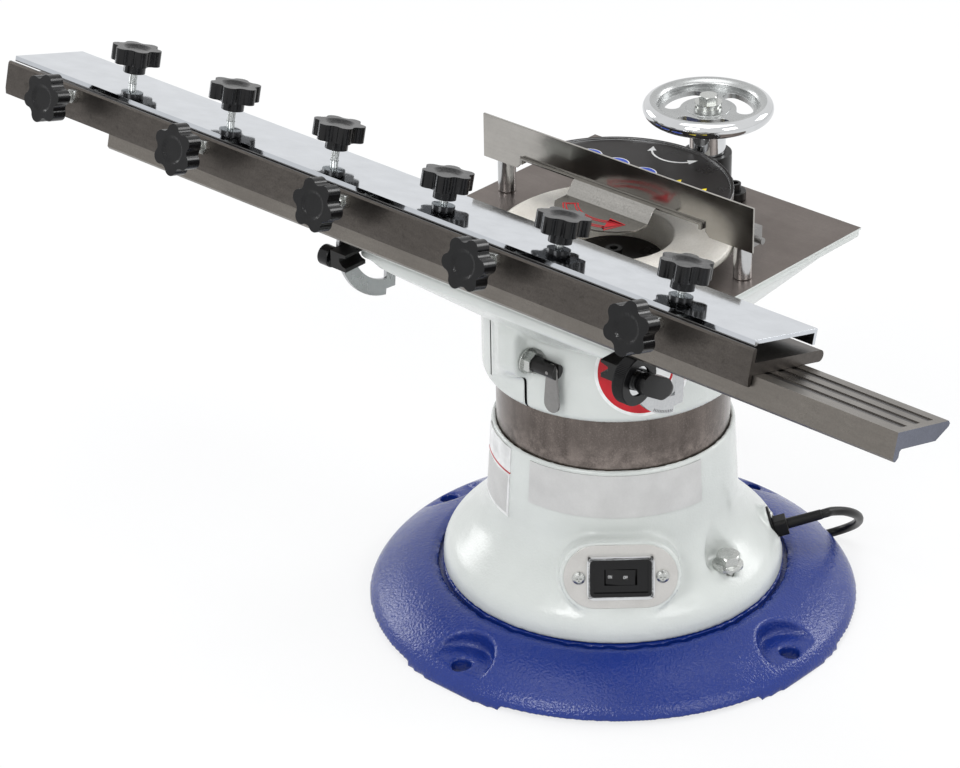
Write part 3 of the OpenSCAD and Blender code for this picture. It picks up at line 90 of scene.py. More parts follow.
WAIST_R = 97.2
TAPER = 3.4 / 55.4
FLARE_R = 43.1
SCREW_THREAD_R = 8.15
SCREW_PITCH = 3.0
SCREW_LOW = 118.0
SCREW_LEN = 172.0
STUD_THREAD_R = 3.12
STUD_PITCH = 1.0
LABEL_T = 0.2
RIM_INNER_R = 44.6
STUD_R = 3.6
FRONT_HUB = 14.4
KNURL_R = 18.5
KNURL_DEPTH = 0.5
KNURL_TEETH = 90

# The camera that took the photograph, fitted to the solids
CAMERA_AZIMUTH = 42.95
CAMERA_ELEVATION = 28.42
CAMERA_ROLL = -1.04
CAMERA_AT = (1.4523, -1.7099, 1.3996)
CAMERA_LENS = 124.8


def turned(point, pitch=0.0):
    """A matrix in metres that moves to a point given in millimetres."""
    return Matrix.Translation(Vector(point) * MM) @ Matrix.Rotation(pitch, 4, "X")


TILTED = turned(PIVOT, -TILT) @ turned((0, -PIVOT_V, PIVOT_W))


def on_skirt(azimuth, tilt, r, z):
    """The frame of a pad on the housing: Z points outwards and X to the right of someone facing it."""
    a, t = math.radians(azimuth), math.radians(tilt)
    out = Vector((math.cos(a) * math.cos(t), math.sin(a) * math.cos(t), math.sin(t)))
    side = Vector((-math.sin(a), math.cos(a), 0))
    up = out.cross(side)
    at = Vector((r * math.cos(a), r * math.sin(a), z)) * MM
    return Matrix((
        (side.x, up.x, out.x, at.x), (side.y, up.y, out.y, at.y), (side.z, up.z, out.z, at.z), (0, 0, 0, 1),
    ))


def top_x(i):
    return CARRIAGE_MID + (i - 3.5) * TOP_PITCH


def front_x(i):
    return CARRIAGE_MID + (i - 3) * FRONT_PITCH


# Settings that a user may change


def paint(name, about, colour):
    return FloatVectorProperty(name=name, description=about, subtype="COLOR", size=3, default=colour)


def measure(name, about, size, least):
    return FloatProperty(name=name, description=about, default=size * MM, min=least * MM, unit="LENGTH")


class GrinderColours(PropertyGroup):
    base_blue: paint("Base", "Paint of the foot", (0.007, 0.027, 0.20))
    casting_white: paint("Castings", "Paint of the housing and head", (0.635, 0.658, 0.632))
    plastic_black: paint("Plastic", "Knobs, switch and levers", (0.0035, 0.0035, 0.004))
    ground_steel: paint("Ground steel", "Table surface", (0.165, 0.14, 0.127))
    carriage_steel: paint("Carriage steel", "Dark steel of the knife carriage", (0.095, 0.085, 0.077))
    slideway_steel: paint("Slideway steel", "Drawn steel of the slideway", (0.20, 0.184, 0.166))
    wheel_cream: paint("Wheel", "Bonded grit of the cup wheel", (0.93, 0.89, 0.82))


class GrinderSizes(PropertyGroup):
    cast_voxel: measure("Casting mesh", "Mesh size of the castings", 2.1, 1.5)
    small_edge: measure("Edge break", "Broken edge of turned and milled pieces", 0.4, 0.1)
    knob_edge: measure("Knob edge", "Width of the rounded edge of the knobs", 1.0, 0.2)
    peel: measure("Orange peel", "Depth of the paint's texture", 0.16, 0.0)


# Materials


class Recipe:
    """Builds one procedural material on Object coordinates."""

    def __init__(self, name):
        self.material = bpy.data.materials.new(name)
        self.material.use_nodes = True
        self.tree = self.material.node_tree
        self.shader = self.tree.nodes["Principled BSDF"]
        self.where = self.add("ShaderNodeTexCoord").outputs["Object"]

    def add(self, kind, **settings):
        node = self.tree.nodes.new(kind)
        for key, value in settings.items():
            setattr(node, key, value)
        return node

    def link(self, a, b):
        self.tree.links.new(a, b)

    def stretched(self, scale):
        node = self.add("ShaderNodeMapping", vector_type="POINT")
        node.inputs["Scale"].default_value = scale
        self.link(self.where, node.inputs["Vector"])
        return node.outputs["Vector"]

    def noise(self, scale, detail=3.0, rough=0.55, vector=None):
        node = self.add("ShaderNodeTexNoise")
        node.inputs["Scale"].default_value = scale
        node.inputs["Detail"].default_value = detail
        node.inputs["Roughness"].default_value = rough
        self.link(vector or self.where, node.inputs["Vector"])
        return node.outputs["Fac"]

    def ramp(self, value, stops):
        node = self.add("ShaderNodeValToRGB")
        ramp = node.color_ramp
        while len(ramp.elements) < len(stops):
            ramp.elements.new(0.5)
        for element, (place, colour) in zip(ramp.elements, stops):
            element.position = place
            element.color = (*colour, 1)
        self.link(value, node.inputs["Fac"])
        return node.outputs["Color"]

    def spread(self, value, low, high, start=0.3, end=0.7):
        node = self.add("ShaderNodeMapRange")
        for key, number in (("From Min", start), ("From Max", end), ("To Min", low), ("To Max", high)):
            node.inputs[key].default_value = number
        self.link(value, node.inputs["Value"])
        return node.outputs["Result"]

    def blend(self, factor, a, b):
        node = self.add("ShaderNodeMix", data_type="RGBA")
        self.link(factor, node.inputs["Factor"])
        for socket, value in ((node.inputs[6], a), (node.inputs[7], b)):
            if hasattr(value, "is_linked"):
                self.link(value, socket)
            else:
                socket.default_value = (*value, 1)
        return node.outputs[2]

    def maths(self, operation, a, b=0.0):
        node = self.add("ShaderNodeMath", operation=operation)
        for socket, value in zip(node.inputs, (a, b)):
            if hasattr(value, "is_linked"):
                self.link(value, socket)
            else:
                socket.default_value = value
        return node.outputs[0]

    def bump(self, height, distance, strength=1.0, below=None):
        node = self.add("ShaderNodeBump")
        node.inputs["Strength"].default_value = strength
        node.inputs["Distance"].default_value = distance
        self.link(height, node.inputs["Height"])
        if below:
            self.link(below, node.inputs["Normal"])
        return node.outputs["Normal"]

    def finish(self, colour, rough, normal=None, metallic=0.0, specular=0.5):
        for name, value in (("Base Color", colour), ("Roughness", rough)):
            if hasattr(value, "is_linked"):
                self.link(value, self.shader.inputs[name])
            else:
                self.shader.inputs[name].default_value = (*value, 1) if name == "Base Color" else value
        self.shader.inputs["Metallic"].default_value = metallic
        self.shader.inputs["Specular IOR Level"].default_value = specular
        if normal:
            self.link(normal, self.shader.inputs["Normal"])
        return self.material


def shade(colour, factor):
    return tuple(min(1.0, c * factor) for c in colour)


def cast_paint(name, colour, peel, lumps, rough, specular):
    """Glossy paint over a sand casting: fine peel over slow lumps, a little uneven in tone."""
    r = Recipe(name)
    tone = r.noise(14, 3)
    fine = r.noise(520, 2, 0.5)
    slow = r.noise(62, 2, 0.45)
    normal = r.bump(slow, lumps)
    normal = r.bump(fine, peel, 1.0, normal)
    base = r.ramp(tone, [(0.3, shade(colour, 0.93)), (0.7, shade(colour, 1.05))])
    return r.finish(base, r.spread(fine, rough - 0.04, rough + 0.06), normal, specular=specular)


def worked_steel(name, colour, streak, rough, spread=0.25, grain=260.0, spots=0.0, metallic=1.0):
    """Steel with a faint directional grain in a fine speckle, slow stains and optional dark spots."""
    r = Recipe(name)
    lines = r.noise(grain, 4, 0.6, r.stretched(streak))
    lines = r.maths("ADD", r.maths("MULTIPLY", lines, 0.4), r.maths("MULTIPLY", r.noise(800, 3, 0.7), 0.6))
    stains = r.noise(19, 4, 0.6)
    base = r.ramp(lines, [(0.25, shade(colour, 1 - spread)), (0.75, shade(colour, 1 + spread))])
    base = r.blend(r.spread(stains, 0.0, 0.55), base, shade(colour, 0.72))
    if spots:
        base = r.blend(r.spread(r.noise(150, 3, 0.7), 0.0, spots, 0.58, 0.72), base, shade(colour, 0.35))
    normal = r.bump(lines, 0.02 * MM, 0.6)
    return r.finish(base, r.spread(stains, rough - 0.07, rough + 0.09), normal, metallic=metallic)


def column_steel(colour):
    """Greased tube: dark and speckled, faintly scratched along its length, mottled near the housing."""
    r = Recipe("ColumnSteel")
    split = r.add("ShaderNodeSeparateXYZ")
    r.link(r.where, split.inputs["Vector"])
    low = r.spread(split.outputs["Z"], 1.0, 0.0, 0.16, 0.186)
    scratches = r.noise(90, 4, 0.6, r.stretched((1, 1, 0.09)))
    patches = r.noise(105, 4, 0.65)
    base = r.ramp(scratches, [(0.32, shade(colour, 0.78)), (0.7, shade(colour, 1.2))])
    base = r.blend(r.spread(r.noise(850, 3, 0.7), 0.0, 0.7, 0.5, 0.75), base, shade(colour, 1.9))
    base = r.blend(r.spread(r.noise(24, 3, 0.6), 0.0, 0.6, 0.45, 0.7), base, shade(colour, 0.6))
    base = r.blend(r.maths("MULTIPLY", low, r.spread(patches, 0.0, 0.75, 0.42, 0.62)), base, shade(colour, 2.1))
    return r.finish(base, r.spread(patches, 0.17, 0.27), r.bump(patches, 0.12 * MM, 0.5), metallic=1.0)


def bright_metal(name, colour, rough, grain=900.0):
    """Plated or polished metal with the faint unevenness of its plating."""
    r = Recipe(name)
    tone = r.noise(55, 3)
    fine = r.noise(grain, 2)
    base = r.ramp(tone, [(0.3, shade(colour, 0.94)), (0.7, shade(colour, 1.04))])
    return r.finish(base, r.spread(fine, rough * 0.8, rough * 1.25), r.bump(tone, 0.03 * MM, 0.5), metallic=1.0)


def bowed_sheet(colour):
    """Polished sheet whose shading normals lean a little along Y, as a slight bend along its back edge would, so
    that it mirrors the room above the guard.
    """
    r = Recipe("MirrorSheet")
    split = r.add("ShaderNodeSeparateXYZ")
    r.link(r.where, split.inputs["Vector"])
    tone = r.noise(55, 3)
    bow = r.maths("MULTIPLY", split.outputs["Y"], 0.055)
    height = r.maths("ADD", bow, r.maths("MULTIPLY", r.noise(9, 2), 0.0004))
    base = r.ramp(tone, [(0.3, shade(colour, 0.94)), (0.7, shade(colour, 1.04))])
    return r.finish(base, r.spread(r.noise(300, 2), 0.06, 0.09), r.bump(height, 1.0), metallic=1.0)


def moulded(name, colour, rough, texture=0.03 * MM, specular=0.25):
    """Moulded plastic or rubber with a fine skin."""
    r = Recipe(name)
    fine = r.noise(1300, 2)
    slow = r.noise(70, 2)
    base = r.ramp(slow, [(0.3, shade(colour, 0.85)), (0.7, shade(colour, 1.2))])
    normal = r.bump(fine, texture, 0.7)
    return r.finish(base, r.spread(slow, rough - 0.04, rough + 0.06), normal, specular=specular)


MATERIALS = {}


def make_materials(colours):
    peel = bpy.context.scene.grinder_sizes.peel
    m = MATERIALS
    m["blue"] = cast_paint("BluePaint", colours.base_blue, peel * 3.6, 0.45 * MM, 0.13, 0.42)
    m["white"] = cast_paint("WhitePaint", colours.casting_white, peel * 1.1, 0.4 * MM, 0.19, 0.5)
    m["white_flat"] = cast_paint("WhiteMachined", colours.casting_white, peel * 0.3, 0.05 * MM, 0.3, 0.4)
    m["table"] = worked_steel("GroundTable", colours.ground_steel, (0.06, 1, 1), 0.33, 0.2, 420)
    m["carriage"] = worked_steel("CarriageSteel", colours.carriage_steel, (0.3, 1, 1), 0.34, 0.4, 300,
                                 spots=0.4, metallic=0.95)
    m["slideway"] = worked_steel("SlidewaySteel", colours.slideway_steel, (0.12, 1, 1), 0.3, 0.22, 380,
                                 spots=0.12)
    m["slide_groove"] = worked_steel("GrooveSteel", (0.085, 0.08, 0.08), (0.12, 1, 1), 0.3, 0.3, 380)
    # painted reflection: a blue-grey tint on the slideway's end face stands in for the reflection seen there
    m["slide_end_reflection"] = worked_steel("SawnEndReflection", (0.15, 0.16, 0.20), (1, 1, 1), 0.3, 0.25, 200)
    m["column"] = column_steel((0.135, 0.115, 0.105))
    m["strip"] = worked_steel("StripSteel", (0.42, 0.405, 0.38), (0.04, 1, 1), 0.13, 0.15, 500)
    m["tongue"] = worked_steel("TongueSteel", (0.36, 0.35, 0.33), (0.04, 1, 1), 0.2, 0.3, 300, spots=0.3)
    m["sheet"] = bowed_sheet((0.60, 0.625, 0.66))
    m["chrome"] = bright_metal("Chrome", (0.62, 0.63, 0.64), 0.05)
    m["galvanised"] = bright_metal("Galvanised", (0.42, 0.43, 0.43), 0.3, 500)
    m["satin"] = bright_metal("SatinNickel", (0.50, 0.505, 0.51), 0.22)
    m["zinc"] = bright_metal("ZincPlate", (0.50, 0.51, 0.495), 0.24)
    m["dull"] = worked_steel("DullSteel", (0.27, 0.265, 0.26), (1, 1, 1), 0.36, 0.15, 300)
    m["sector"] = worked_steel("SectorSteel", (0.52, 0.53, 0.54), (1, 1, 1), 0.24, 0.12, 300)
    m["plate"] = bright_metal("SwitchPlate", (0.58, 0.57, 0.55), 0.45)
    m["black"] = moulded("BlackPlastic", colours.plastic_black, 0.2, 0.02 * MM, 0.3)
    m["matte"] = moulded("BlackMatte", (0.005, 0.005, 0.005), 0.45, 0.08 * MM, 0.22)
    m["rubber"] = moulded("LeadRubber", (0.005, 0.005, 0.005), 0.34, 0.03 * MM, 0.25)
    m["oxide"] = moulded("BlackOxide", (0.007, 0.0065, 0.0062), 0.32, 0.05 * MM, 0.3)
    m["lacquer"] = moulded("GuardLacquer", (0.012, 0.010, 0.0095), 0.3, 0.02 * MM, 0.15)
    m["wheel"] = grit_material(colours.wheel_cream)
    m["label"] = moulded("LabelWhite", (0.74, 0.74, 0.73), 0.4, 0.01 * MM)
    m["label_grey"] = bright_metal("LabelSilver", (0.60, 0.60, 0.595), 0.4, 700)
    m["label_red"] = moulded("LabelRed", (0.45, 0.012, 0.02), 0.35)
    m["label_yellow"] = moulded("LabelYellow", (0.80, 0.62, 0.02), 0.35)
    m["label_blue"] = moulded("LabelBlue", (0.02, 0.06, 0.40), 0.35)
    m["bronze"] = worked_steel("Bronze", (0.45, 0.32, 0.13), (1, 1, 1), 0.33, 0.15, 200)
    m["iron"] = worked_steel("Laminations", (0.16, 0.12, 0.09), (1, 1, 30), 0.5, 0.3, 60)
    m["alloy"] = worked_steel("CastAlloy", (0.5, 0.5, 0.5), (1, 1, 1), 0.45, 0.12, 500)


def grit_material(colour):
    r = Recipe("WheelGrit")
    fine = r.noise(1500, 3, 0.7)
    slow = r.noise(40, 3)
    base = r.ramp(fine, [(0.3, shade(colour, 0.8)), (0.62, shade(colour, 1.08))])
    base = r.blend(r.spread(slow, 0.0, 0.3), base, (0.62, 0.55, 0.45))
    return r.finish(base, 0.85, r.bump(fine, 0.25 * MM), specular=0.3)


# Modelling helpers


def only(piece):
    bpy.ops.object.select_all(action="DESELECT")
    piece.select_set(True)
    bpy.context.view_layer.objects.active = piece


def edit(piece, select="DESELECT"):
    only(piece)
    bpy.ops.object.mode_set(mode="EDIT")
    bpy.ops.mesh.select_mode(type="FACE")
    bpy.ops.mesh.select_all(action=select)
    return bmesh.from_edit_mesh(piece.data)


def leave():
    bpy.ops.object.mode_set(mode="OBJECT")


def apply(piece, kind, **settings):
    """Adds a modifier, sets it and applies it."""
    only(piece)
    modifier = piece.modifiers.new(kind.title(), kind)
    for key, value in settings.items():
        setattr(modifier, key, value)
    bpy.ops.object.modifier_apply(modifier=modifier.name)


def place(piece, matrix):
    """Moves a piece's mesh, so that its object stays at the origin."""
    piece.data.transform(matrix @ piece.matrix_basis)
    piece.matrix_basis = Matrix.Identity(4)
    return piece


def smooth(piece, angle=35.0):
    only(piece)
    bpy.ops.object.shade_smooth_by_angle(angle=math.radians(angle))


def weigh(piece, angle=40.0):
    """Smooth shading whose flat faces stay flat."""
    smooth(piece, angle)
    apply(piece, "WEIGHTED_NORMAL", keep_sharp=True, weight=60)


def dress(piece, material, body, *replaced):
    if isinstance(material, str):
        material = MATERIALS[material]
    if not piece.data.materials or piece.data.materials[0] is None:
        piece.data.materials.clear()
        piece.data.materials.append(material)
    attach(piece, body)
    if replaced:
        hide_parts(*replaced)
    return piece


def body_of(node):
    return next(b for b, nodes in frame["record"]["behaviour"]["bodies"].items() if node in nodes)


def cad_copy(node, name):
    """A merged copy of a CAD node's mesh, with its flat faces joined up."""
    piece = bpy.data.objects.new(name, frame["nodes"][node].data.copy())
    bpy.context.scene.collection.objects.link(piece)
    piece.data.materials.clear()
    edit(piece, "SELECT")
    bpy.ops.mesh.customdata_custom_splitnormals_clear()
    bpy.ops.mesh.remove_doubles(threshold=0.004 * MM)
    bpy.ops.mesh.dissolve_limited(angle_limit=math.radians(0.4), use_dissolve_boundaries=False)
    leave()
    return piece


def machined(node, name, material, edge=None, segments=2, angle=32.0):
    """A CAD piece with its edges broken, as turning, milling or moulding leaves them."""
    piece = cad_copy(node, name)
    width = edge if edge is not None else bpy.context.scene.grinder_sizes.small_edge
    apply(piece, "BEVEL", width=width, segments=segments, limit_method="ANGLE", angle_limit=math.radians(angle),
          use_clamp_overlap=True, miter_outer="MITER_ARC")
    weigh(piece)
    return dress(piece, material, body_of(node), node)


def pick(piece, material, test):
    """Gives the faces that pass a test on their centre and normal another material."""
    if isinstance(material, str):
        material = MATERIALS[material]
    names = [m.name for m in piece.data.materials]
    if material.name not in names:
        piece.data.materials.append(material)
        names.append(material.name)
    index = names.index(material.name)
    for face in piece.data.polygons:
        if test(face.center / MM, face.normal):
            face.material_index = index


def casting(piece, voxel, relax=4, factor=0.5):
    """Turns a merged copy into one soft skin, as sand casting and paint leave it."""
    apply(piece, "REMESH", mode="VOXEL", voxel_size=voxel, use_smooth_shade=True)
    apply(piece, "SMOOTH", factor=factor, iterations=relax)
    only(piece)
    bpy.ops.object.shade_smooth()


def ring_piece(name, profile, steps=96):
    """A turned piece: a closed outline of (r, z) in millimetres spun round Z."""
    mesh = bpy.data.meshes.new(name)
    count = len(profile)
    points = [(r * MM, 0, z * MM) for r, z in profile]
    mesh.from_pydata(points, [(i, (i + 1) % count) for i in range(count)], [])
    piece = bpy.data.objects.new(name, mesh)
    bpy.context.scene.collection.objects.link(piece)
    only(piece)
    bpy.ops.object.mode_set(mode="EDIT")
    bpy.ops.mesh.select_all(action="SELECT")
    bpy.ops.mesh.spin(steps=steps, angle=math.tau, center=(0, 0, 0), axis=(0, 0, 1))
    bpy.ops.mesh.select_all(action="SELECT")
    bpy.ops.mesh.remove_doubles(threshold=0.01 * MM)
    bpy.ops.mesh.normals_make_consistent(inside=False)
    leave()
    return piece


def thread(name, r, pitch, length, matrix, material, body, steps=20):
    """A screw thread along Z: a zigzag outline swept by the Screw modifier."""
    depth = 0.55 * pitch
    mesh = bpy.data.meshes.new(name)
    root = r - depth
    outline = [(root, 0), (r, 0.4 * pitch), (r, 0.55 * pitch), (root, 0.95 * pitch), (root, pitch)]
    mesh.from_pydata([(a * MM, 0, z * MM) for a, z in outline], [(i, i + 1) for i in range(4)], [])
    piece = bpy.data.objects.new(name, mesh)
    bpy.context.scene.collection.objects.link(piece)
    turns = max(1, int(length / pitch) - 1)
    apply(piece, "SCREW", axis="Z", angle=math.tau, screw_offset=pitch * MM, iterations=turns, steps=steps,
          render_steps=steps, use_merge_vertices=True, merge_threshold=0.01 * MM, use_normal_calculate=True)
    place(piece, matrix)
    smooth(piece, 50)
    return dress(piece, material, body)


def outline_plate(name, points, thickness, matrix, holes=()):
    """A flat plate from outlines in millimetres, made as a filled curve and turned into a mesh."""
    curve = bpy.data.curves.new(name, "CURVE")
    curve.dimensions = "2D"
    curve.fill_mode = "BOTH"
    curve.extrude = thickness * MM / 2
    for loop in (points, *holes):
        spline = curve.splines.new("POLY")
        spline.points.add(len(loop) - 1)
        for point, (x, y) in zip(spline.points, loop):
            point.co = (x * MM, y * MM, 0, 1)
        spline.use_cyclic_u = True
    piece = bpy.data.objects.new(name, curve)
    bpy.context.scene.collection.objects.link(piece)
    only(piece)
    bpy.ops.object.convert(target="MESH")
    piece = bpy.context.view_layer.objects.active
    return place(piece, matrix)


def arc_points(r, a0, a1, count, centre=(0, 0)):
    return [(centre[0] + r * math.cos(math.radians(a0 + (a1 - a0) * i / count)),
             centre[1] + r * math.sin(math.radians(a0 + (a1 - a0) * i / count))) for i in range(count + 1)]


def wrapped(name, r, a0, a1, outline, thickness, columns=64):
    """A thin sheet on a cylinder or cone about Z; outline gives (r offset, z) from bottom to top."""
    mesh = bpy.data.meshes.new(name)
    points, faces = [], []
    for j, (dr, z) in enumerate(outline):
        for i in range(columns + 1):
            a = math.radians(a0 + (a1 - a0) * i / columns)
            points.append(((r + dr) * MM * math.cos(a), (r + dr) * MM * math.sin(a), z * MM))
            if i and j:
                k = j * (columns + 1) + i
                faces.append((k - columns - 2, k - columns - 1, k, k - 1))
    mesh.from_pydata(points, [], faces)
    piece = bpy.data.objects.new(name, mesh)
    bpy.context.scene.collection.objects.link(piece)
    edit(piece, "SELECT")
    bpy.ops.mesh.normals_make_consistent(inside=False)
    leave()
    apply(piece, "SOLIDIFY", thickness=thickness * MM, offset=-1)
    smooth(piece)
    return piece


def housing_r(z):
    """Outer radius of the motor housing at a height, in millimetres."""
    if z >= WAIST_Z:
        return WAIST_R - TAPER * (z - WAIST_Z)
    return WAIST_R + FLARE_R - math.sqrt(FLARE_R ** 2 - (WAIST_Z - z) ** 2)


def wrapped_disc(name, r, azimuth, z, rings, lift=0.25, steps=64):
    """A round sticker on a cylinder about Z: rings are (outer radius, material)."""
    mesh = bpy.data.meshes.new(name)
    points, faces, marks = [], [], []
    radii = [0.0]
    for index, (edge, _) in enumerate(rings):
        start = radii[-1]
        count = max(2, int((edge - start) / 2))
        radii += [start + (edge - start) * (k + 1) / count for k in range(count)]
        marks += [index] * count

    def at(ring, k):
        u, v = ring * math.cos(math.tau * k / steps), ring * math.sin(math.tau * k / steps)
        a = math.radians(azimuth) + u / r
        return ((r + lift) * MM * math.cos(a), (r + lift) * MM * math.sin(a), (z + v) * MM)

    points.append(at(0, 0))
    for ring in radii[1:]:
        points += [at(ring, k) for k in range(steps)]
    for j in range(1, len(radii)):
        for k in range(steps):
            n = (k + 1) % steps
            a, b = 1 + (j - 1) * steps + k, 1 + (j - 1) * steps + n
            faces.append((0, a, b) if j == 1 else (a - steps, a, b, b - steps))
    mesh.from_pydata(points, [], faces)
    for _, material in rings:
        mesh.materials.append(MATERIALS[material])
    for j in range(len(radii) - 1):
        for k in range(steps):
            mesh.polygons[j * steps + k].material_index = marks[j]
    piece = bpy.data.objects.new(name, mesh)
    bpy.context.scene.collection.objects.link(piece)
    edit(piece, "SELECT")
    bpy.ops.mesh.normals_make_consistent(inside=False)
    leave()
    apply(piece, "SOLIDIFY", thickness=0.35 * MM, offset=-1)
    smooth(piece)
    return piece


def lettering(name, words, size, matrix, material, body, depth=0.12):
    """Raised words, such as ON and OFF, turned from text into a mesh."""
    curve = bpy.data.curves.new(name, "FONT")
    curve.body = words
    curve.size = size * MM
    curve.align_x = "CENTER"
    curve.align_y = "CENTER"
    curve.extrude = depth * MM / 2
    curve.resolution_u = 3
    piece = bpy.data.objects.new(name, curve)
    bpy.context.scene.collection.objects.link(piece)
    only(piece)
    bpy.ops.object.convert(target="MESH")
    piece = bpy.context.view_layer.objects.active
    place(piece, matrix)
    return dress(piece, material, body)


def rounded_box(w, h, r, count=6):
    """Outline of a rectangle with round corners, in millimetres."""
    points = []
    for x, y, a in ((1, 1, 0), (-1, 1, 90), (-1, -1, 180), (1, -1, 270)):
        points += arc_points(r, a, a + 90, count, (x * (w / 2 - r), y * (h / 2 - r)))
    return points


def arrow_arc(r, width, a0, a1, head, both=True, wing=None):
    """Outline of an arc with an arrow head at one or both ends, in millimetres."""
    outer, inner = r + width / 2, r - width / 2
    wing = wing or width * 1.5
    span = math.degrees(head / r)
    start = a0 + (span if both else 0)
    end = a1 - span
    points = arc_points(outer, start, end, 24)
    points += [arc_points(r + wing, end, end, 1)[0], arc_points(r, a1, a1, 1)[0],
               arc_points(r - wing, end, end, 1)[0]]
    points += arc_points(inner, end, start, 24)
    if both:
        points += [arc_points(r - wing, start, start, 1)[0], arc_points(r, a0, a0, 1)[0],
                   arc_points(r + wing, start, start, 1)[0]]
    return points


# Stage: camera, floor and light


def plain(name, colour, rough=0.6):
    material = bpy.data.materials.new(name)
    material.use_nodes = True
    shader = material.node_tree.nodes["Principled BSDF"]
    shader.inputs["Base Color"].default_value = (*colour, 1)
    shader.inputs["Roughness"].default_value = rough
    return material


class GRINDER_OT_stage(Operator):
    """Sets the camera, the pale floor, the lamps and the world"""

    bl_idname = "grinder.stage"
    bl_label = "Stage"

    def execute(self, context):
        scene = context.scene
        scene.view_settings.view_transform = "Standard"
        a, e, roll = (math.radians(angle) for angle in (CAMERA_AZIMUTH, CAMERA_ELEVATION, CAMERA_ROLL))
        back = Vector((math.sin(a) * math.cos(e), -math.cos(a) * math.cos(e), math.sin(e)))
        side = Vector((0, 0, 1)).cross(back).normalized()
        up = back.cross(side)
        right = side * math.cos(roll) + up * math.sin(roll)
        up = up * math.cos(roll) - side * math.sin(roll)
        bpy.ops.object.camera_add()
        camera = context.object
        camera.name = "PhotoCamera"
        camera.data.lens = CAMERA_LENS
        camera.data.sensor_width = 36
        camera.data.sensor_fit = "HORIZONTAL"
        camera.data.clip_start = 0.05
        camera.data.clip_end = 60
        camera.matrix_world = Matrix((
            *((right[i], up[i], back[i], CAMERA_AT[i]) for i in range(3)), (0, 0, 0, 1),
        ))
        scene.camera = camera
        bpy.ops.mesh.primitive_plane_add(size=30)
        floor = context.object
        floor.name = "Floor"
        floor.data.materials.append(self.floor_material())
        lamps = (
            ("KeyLamp", (0.4, -2.7, 2.4), 1.2, 42),
            ("LeftLamp", (-2.75, -0.25, 1.15), 1.1, 20),
            ("RightLamp", (1.15, 2.45, 1.6), 1.1, 26),
            ("SideLamp", (2.9, -0.4, 2.1), 1.3, 22),
            ("TopLamp", (0.0, -0.1, 3.2), 2.2, 30),
        )
        for name, at, size, power in lamps:
            bpy.ops.object.light_add(type="AREA", location=at)
            lamp = context.object
            lamp.name = name
            lamp.data.shape = "SQUARE"
            lamp.data.size = size
            lamp.data.energy = power
            lamp.rotation_euler = (Vector((0, 0, 0.25)) - Vector(at)).to_track_quat("-Z", "Y").to_euler()
        self.light_world(scene)
        return {"FINISHED"}

    @staticmethod
    def seen_directly(tree):
        """1 for camera, mirror and glass rays."""
        path = tree.nodes.new("ShaderNodeLightPath")
        one, two = tree.nodes.new("ShaderNodeMath"), tree.nodes.new("ShaderNodeMath")
        one.operation = two.operation = "MAXIMUM"
        tree.links.new(path.outputs["Is Camera Ray"], one.inputs[0])
        tree.links.new(path.outputs["Is Glossy Ray"], one.inputs[1])
        tree.links.new(one.outputs[0], two.inputs[0])
        tree.links.new(path.outputs["Is Transmission Ray"], two.inputs[1])
        return two.outputs[0]

    def floor_material(self):
        material = plain("FloorPaint", (0.86, 0.86, 0.86), 0.9)
        tree = material.node_tree
        glow = tree.nodes.new("ShaderNodeEmission")
        glow.inputs["Color"].default_value = (1, 1, 1, 1)
        mix = tree.nodes.new("ShaderNodeMixShader")
        share = tree.nodes.new("ShaderNodeMath")
        share.operation = "MULTIPLY"
        share.inputs[1].default_value = 0.72
        tree.links.new(self.seen_directly(tree), share.inputs[0])
        tree.links.new(share.outputs[0], mix.inputs["Fac"])
        tree.links.new(tree.nodes["Principled BSDF"].outputs[0], mix.inputs[1])
        tree.links.new(glow.outputs[0], mix.inputs[2])
        tree.links.new(mix.outputs[0], tree.nodes["Material Output"].inputs["Surface"])
        return material

    def light_world(self, scene):
        world = bpy.data.worlds.new("Studio")
        scene.world = world
        world.use_nodes = True
        tree = world.node_tree
        light = tree.nodes["Background"]
        light.inputs["Color"].default_value = (0.93, 0.96, 1.0, 1)
        light.inputs["Strength"].default_value = 0.55
        seen = tree.nodes.new("ShaderNodeBackground")
        seen.inputs["Color"].default_value = (1, 1, 1, 1)
        mix = tree.nodes.new("ShaderNodeMixShader")
        tree.links.new(self.seen_directly(tree), mix.inputs["Fac"])
        tree.links.new(light.outputs[0], mix.inputs[1])
        tree.links.new(seen.outputs[0], mix.inputs[2])
        tree.links.new(mix.outputs[0], tree.nodes["World Output"].inputs["Surface"])


# Mains lead

LEAD_POINTS = [
    (121, 124, 63), (123, 137, 58), (123, 150, 50), (119, 162, 40), (112, 172, 29), (103, 178, 19),
    (93, 179, 11), (84, 174, 6), (77, 165, 4), (69, 152, 4), (58, 138, 4), (42, 127, 4), (22, 121, 4),
    (0, 119, 4), (-30, 118, 4), (-60, 118, 4), (-77.7, 120, 4), (-88.8, 125.6, 4), (-97.7, 134.5, 4),
    (-104, 143.8, 4), (-109.4, 153.5, 4), (-113.6, 165, 4), (-116.8, 177, 4),
]
COIL_CENTRE = (-170.0, 183.0)
COIL_R = 40.0
COIL_TURNS = 2.5
COIL_PITCH = 8.0
COIL_START = 16.0
COIL_STEPS = 48
SLEEVE_LEN = 39
PLUG_BODY_LEN = 42.4


def coil_point(t):
    part = t if t <= COIL_TURNS else 2 * COIL_TURNS - t
    climb = min(max((t - COIL_TURNS + 0.25) / 0.5, 0), 1)
    a = math.radians(COIL_START + 360 * t)
    r = COIL_R + COIL_PITCH * COIL_TURNS / 2 - COIL_PITCH * part
    return Vector((COIL_CENTRE[0] + r * math.cos(a), COIL_CENTRE[1] + r * math.sin(a), 4 + COIL_PITCH * climb))


